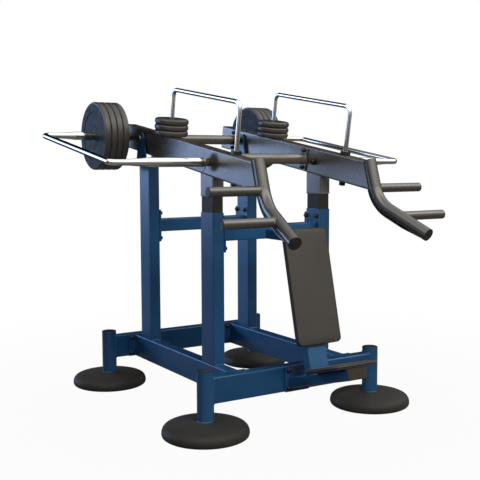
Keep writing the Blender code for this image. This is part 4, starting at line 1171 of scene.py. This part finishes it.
def sleeve_profile(start):
    """(x, radius) of a sleeve from its plate stop to the end of its taper."""
    neck = SLEEVE_RADIUS - 0.0015
    ring = ((-0.0105, SLEEVE_RADIUS), (-0.0095, neck - 0.0007), (-0.0065, neck - 0.0007),
            (-0.0055, SLEEVE_RADIUS - 0.0003), (-0.001, SLEEVE_RADIUS - 0.0006), (0.002, neck))
    cone = [(TAPER_LENGTH * t, ROD_RADIUS + (neck - ROD_RADIUS) * (1 - t) ** 1.15)
            for t in (0.15, 0.35, 0.55, 0.75, 0.9)]
    return ([(start, SLEEVE_RADIUS - 0.0008), (start + 0.0008, SLEEVE_RADIUS)]
            + [(SLEEVE_END_X + x, radius) for x, radius in (*ring, *cone)])


def chrome_rail(side):
    taper_end = SLEEVE_END_X + TAPER_LENGTH
    path = bent([(taper_end, STORE_S, 0), (RAIL_X, STORE_S, 0), (RAIL_X, LOAD_S, 0), (taper_end, LOAD_S, 0)],
                RAIL_CORNER, 14)
    up = Vector((0, 0, 1))
    stations = [(Vector((x, STORE_S, 0)), Vector((0, 1, 0)), r) for x, r in sleeve_profile(STORE_STOP_X + SEAT_GAP)]
    stations += [(point, up.cross(line), ROD_RADIUS) for point, line in zip(path, tangents(path))]
    stations += [(Vector((x, LOAD_S, 0)), Vector((0, -1, 0)), r)
                 for x, r in reversed(sleeve_profile(LOAD_STOP_X + SEAT_GAP))]
    rings = [ring_on((point, across, up), circle(radius)) for point, across, radius in stations]
    return placed(skin(rings), at(0, 0, -LEVER_DROP) @ Matrix.Diagonal((side, 1, 1, 1)))


for name, side in SIDES:
    rail = arm_piece("chrome_loop_" + name, painted(chrome, chrome_rail(side)))
print("rail", [round(size, 3) for size in rail.dimensions])

# %% [markdown]
# ## U bars
# A chromed bar stands on each lever, bent square with tight corners. Its rear leg holds the small
# plates and its front leg stands in a black collar. Both legs pass through the lever and are nutted
# below.

# %% U bars
U_RADIUS, U_RISE, U_CORNER = 0.0125, 0.266, 0.040
U_REAR_S, U_FRONT_S = -0.292, -1.028
NUT_SIZE, TOP_COLLAR_SIZE = (0.018, 0.024), (0.029, 0.020)


def collar(s, bottom, size):
    """Six-sided collar or nut of a (radius, height) round a leg."""
    body = eased(spun([(size[0], bottom), (size[0], bottom + size[1])], 6))
    return placed(body, at(0, s) @ Matrix.Rotation(math.radians(30), 4, "Z"))


def u_bar():
    top, nut = LEVER_TOP + U_RISE, LEVER_BOTTOM - SEAT_GAP - NUT_SIZE[1]
    tail = LEVER_BOTTOM - NUT_SIZE[1] - 0.002
    path = bent([(0, U_REAR_S, tail), (0, U_REAR_S, top), (0, U_FRONT_S, top), (0, U_FRONT_S, tail)], U_CORNER, 14)
    bar = eased(skin([ring_on(carrier, circle(U_RADIUS, 32)) for carrier in carried(path)]), 0.0015, 2, 60)
    collars = (collar(U_REAR_S, nut, NUT_SIZE), collar(U_FRONT_S, nut, NUT_SIZE),
               collar(U_FRONT_S, LEVER_TOP + SEAT_GAP, TOP_COLLAR_SIZE))
    return painted(chrome, bar) + painted(plug_plastic, *collars)


for name, side in SIDES:
    arm_piece("u_bar_" + name, u_bar(), at(side * UPRIGHT_X))
print("U bar rises", U_RISE, "m over the lever")

# %% [markdown]
# ## Weight plates
# Four big plates hang on each storage sleeve and three small ones stand on each U bar's rear leg. They
# are iron cast in rubber, so the rim is fat and round, and the face has a hub, a sunk web and two thin
# grooves. A steel ring lines the bore. One turned profile gives all of it, and its mirror image the
# other face. The tread is a band of its own, as it is rubbed to a different shine; it is also painted
# paler and warmer than the face as a painted highlight, and the face bluish as painted blue light.

# %% Weight plates
BIG_RADIUS, BIG_THICKNESS, BIG_PITCH, BIG_START = 0.208, 0.0385, 0.0390, 0.4785
SMALL_RADIUS, SMALL_THICKNESS = 0.098, 0.033
BIG_HUB, BIG_WEB, SMALL_HUB, SMALL_WEB = 0.072, 0.146, 0.036, 0.068


def weight_plate(radius, thickness, bore, hub, web, round_over, segments, lay=Matrix.Identity(4)):
    """Plate about Z: bore ring, hub, groove, sunk web, groove, rim, and the rounded tread."""
    half, ring, groove = thickness / 2, bore + 0.0055, 0.0030
    depths = [(ring, 0.0030), (ring + 0.002, 0.0012), (hub - 0.003, 0.0012), (hub - 0.0015, groove),
              (hub + 0.0015, groove), (hub + 0.003, 0.0025), (web - 0.003, 0.0025), (web - 0.0015, groove + 0.001),
              (web + 0.0015, groove + 0.001), (web + 0.003, 0.0004), (web + 0.006, 0.0)]
    tread = list(reversed(quarter(radius - round_over, half - round_over, round_over, 8)))
    side = [(r, half - depth) for r, depth in depths] + [tread[0]]
    lining = [(bore, half - 0.0042), (bore + 0.001, half - 0.0030), (ring, half - 0.0030)]
    # The face's bluish colour is painted blue light, and the tread's paler one is a painted highlight.
    profiles = ((plate_rubber_painted_blue_light, [(ring, 0)] + mirrored_profile(side)), (tread_rubber_painted_highlight, mirrored_profile(tread)),
                (bolt_steel, mirrored_profile(lining)))
    return [(placed(spun(profile, segments, closed=True), lay), material) for material, profile in profiles]


for name, side in SIDES:
    for i in range(4):
        x = side * (BIG_START + BIG_THICKNESS / 2 + i * BIG_PITCH)
        parts = weight_plate(BIG_RADIUS, BIG_THICKNESS, SLEEVE_RADIUS + RUNNING_GAP, BIG_HUB, BIG_WEB, 0.012, 96,
                             pointing_x())
        piece(f"big_plate_{name}_{i + 1}", parts, "big_plates_" + name,
              ARM_AXES @ at(x, STORE_S, -LEVER_DROP))
    for i in range(3):
        n = LEVER_TOP + SEAT_GAP + SMALL_THICKNESS / 2 + i * (SMALL_THICKNESS + SEAT_GAP)
        parts = weight_plate(SMALL_RADIUS, SMALL_THICKNESS, U_RADIUS + RUNNING_GAP, SMALL_HUB, SMALL_WEB, 0.0125, 72)
        piece(f"small_plate_{name}_{i + 1}", parts, "small_plates_" + name,
              ARM_AXES @ at(side * UPRIGHT_X, U_REAR_S, n))
print(len(made_pieces), "pieces made")

# %% [markdown]
# ## Floor and light
# The picture is a studio one on white. The floor keeps a faint shadow under the feet and fades to white
# with distance, so that no horizon shows. The light falls almost level from the rear left, with a warm
# fill in front. Shiny surfaces see a sky of bands instead of the lamps: a pale blue softbox at the rear
# left, which turns the levers' dark sides slate blue, a warm strip overhead in front, which draws the
# highlight along the grips, and a dark band at the horizon, which draws the lines along the chrome.

# %% Floor and light
FLOOR_RADIUS = 8
BANDS = ((0.0, 0.30), (0.46, 0.45), (0.505, 0.60), (0.52, 0.10), (0.545, 0.10), (0.57, 0.80), (0.90, 1.00), (1.0, 0.90))
SOFTBOXES = ((6.0, "#A3BEEC", (("X", -0.20, -0.42), ("Y", 0.35, 0.65), ("Z", -0.09, 0.04), ("Z", 0.55, 0.25))),
             (2.4, "#FFF8EC", (("Y", 0.10, -0.25), ("Z", 0.38, 0.56), ("Z", 0.92, 0.72))))
LAMPS = (("rim", (-1.6, 4.4, 1.35), 1.8, 190.0, "#DCE8F4"), ("front", (-0.2, -3.4, 2.6), 1.8, 125.0, "#FFF7EC"),
         ("left", (-4.4, -1.6, 1.9), 2.4, 16.0, "#CFE0FF"), ("right", (4.4, -0.5, 1.8), 2.4, 30.0, "#FFFFFF"))

bpy.ops.mesh.primitive_circle_add(vertices=96, radius=FLOOR_RADIUS, fill_type="NGON")
floor = bpy.context.object
floor.name = "studio_floor"
floor_paint, tree, shader = surface("matt_white_floor", Roughness=0.9, Base_Color=linear("#404040"))
reach = add(tree, "VectorMath", {0: add(tree, "NewGeometry", out="Position")}, out="Value", operation="LENGTH")
seen = math_node(tree, add(tree, "LightPath", out="Is Camera Ray"), ranged(tree, reach, (1.2, 3.5), (0.965, 1.0)))
shone = math_node(tree, add(tree, "LightPath", out="Is Glossy Ray"), ranged(tree, reach, (2.0, 4.5), (0.12, 0.0)))
white = add(tree, "Emission", {"Color": (1, 1, 1, 1), "Strength": 1.0})
both = add(tree, "MixShader", {0: math_node(tree, seen, shone, "ADD"), 1: shader.outputs["BSDF"], 2: white})
tree.links.new(both, tree.nodes["Material Output"].inputs["Surface"])
floor.data.materials.append(floor_paint)

world = bpy.data.worlds.new("studio")
bpy.context.scene.world = world
world.use_nodes = True
tree = world.node_tree
tree.nodes.clear()
way = add(tree, "SeparateXYZ", {"Vector": add(tree, "TexCoord", out="Generated")}).node.outputs
sky = add(tree, "ValToRGB", {"Fac": ranged(tree, way["Z"], (-1.0, 1.0))})
stops = sky.node.color_ramp.elements
while len(stops) < len(BANDS):
    stops.new(0.5)
for stop, (height, value) in zip(stops, BANDS):
    stop.position, stop.color = height, (value, value, value, 1)

front = ranged(tree, way["Y"], (0.25, -0.35))
above = math_node(tree, ranged(tree, way["Z"], (0.28, 0.62), (0.0, 1.5)), ranged(tree, way["Y"], (0.70, 0.30)))
mirrored = add(tree, "Background", {"Color": sky, "Strength": math_node(tree, front, above, "MAXIMUM")})
for strength, tint, edges in SOFTBOXES:
    patch = strength
    for axis, dark, bright in edges:
        patch = math_node(tree, patch, ranged(tree, way[axis], (dark, bright)))
    softbox = add(tree, "Background", {"Color": linear(tint), "Strength": patch})
    mirrored = add(tree, "AddShader", {0: mirrored, 1: softbox})

lit = add(tree, "Background", {"Color": ranged(tree, way["Z"], (0.1, 0.5), (1.0, 0.25)), "Strength": 0.16})
plain = add(tree, "Background", {"Color": (1, 1, 1, 1), "Strength": 1.0})
shine = math_node(tree, add(tree, "LightPath", out="Is Glossy Ray"), add(tree, "LightPath", out="Is Transmission Ray"),
                  "MAXIMUM")
indirect = add(tree, "MixShader", {0: shine, 1: lit, 2: mirrored})
backdrop = add(tree, "MixShader", {0: add(tree, "LightPath", out="Is Camera Ray"), 1: indirect, 2: plain})
add(tree, "OutputWorld", {"Surface": backdrop})

for name, spot, size, power, tint in LAMPS:
    lamp = bpy.data.lights.new(name, "AREA")
    lamp.color = linear(tint)[:3]
    lamp.shape, lamp.size, lamp.size_y, lamp.energy = "RECTANGLE", size, size * 0.5, power
    item = bpy.data.objects.new(name + "_lamp", lamp)
    item.location = spot
    item.visible_glossy = False
    item.rotation_euler = (Vector((0, 0, 0.9)) - Vector(spot)).to_track_quat("-Z", "Y").to_euler()
    bpy.context.collection.objects.link(item)
print(len(LAMPS), "lamps and", len(SOFTBOXES), "softboxes")
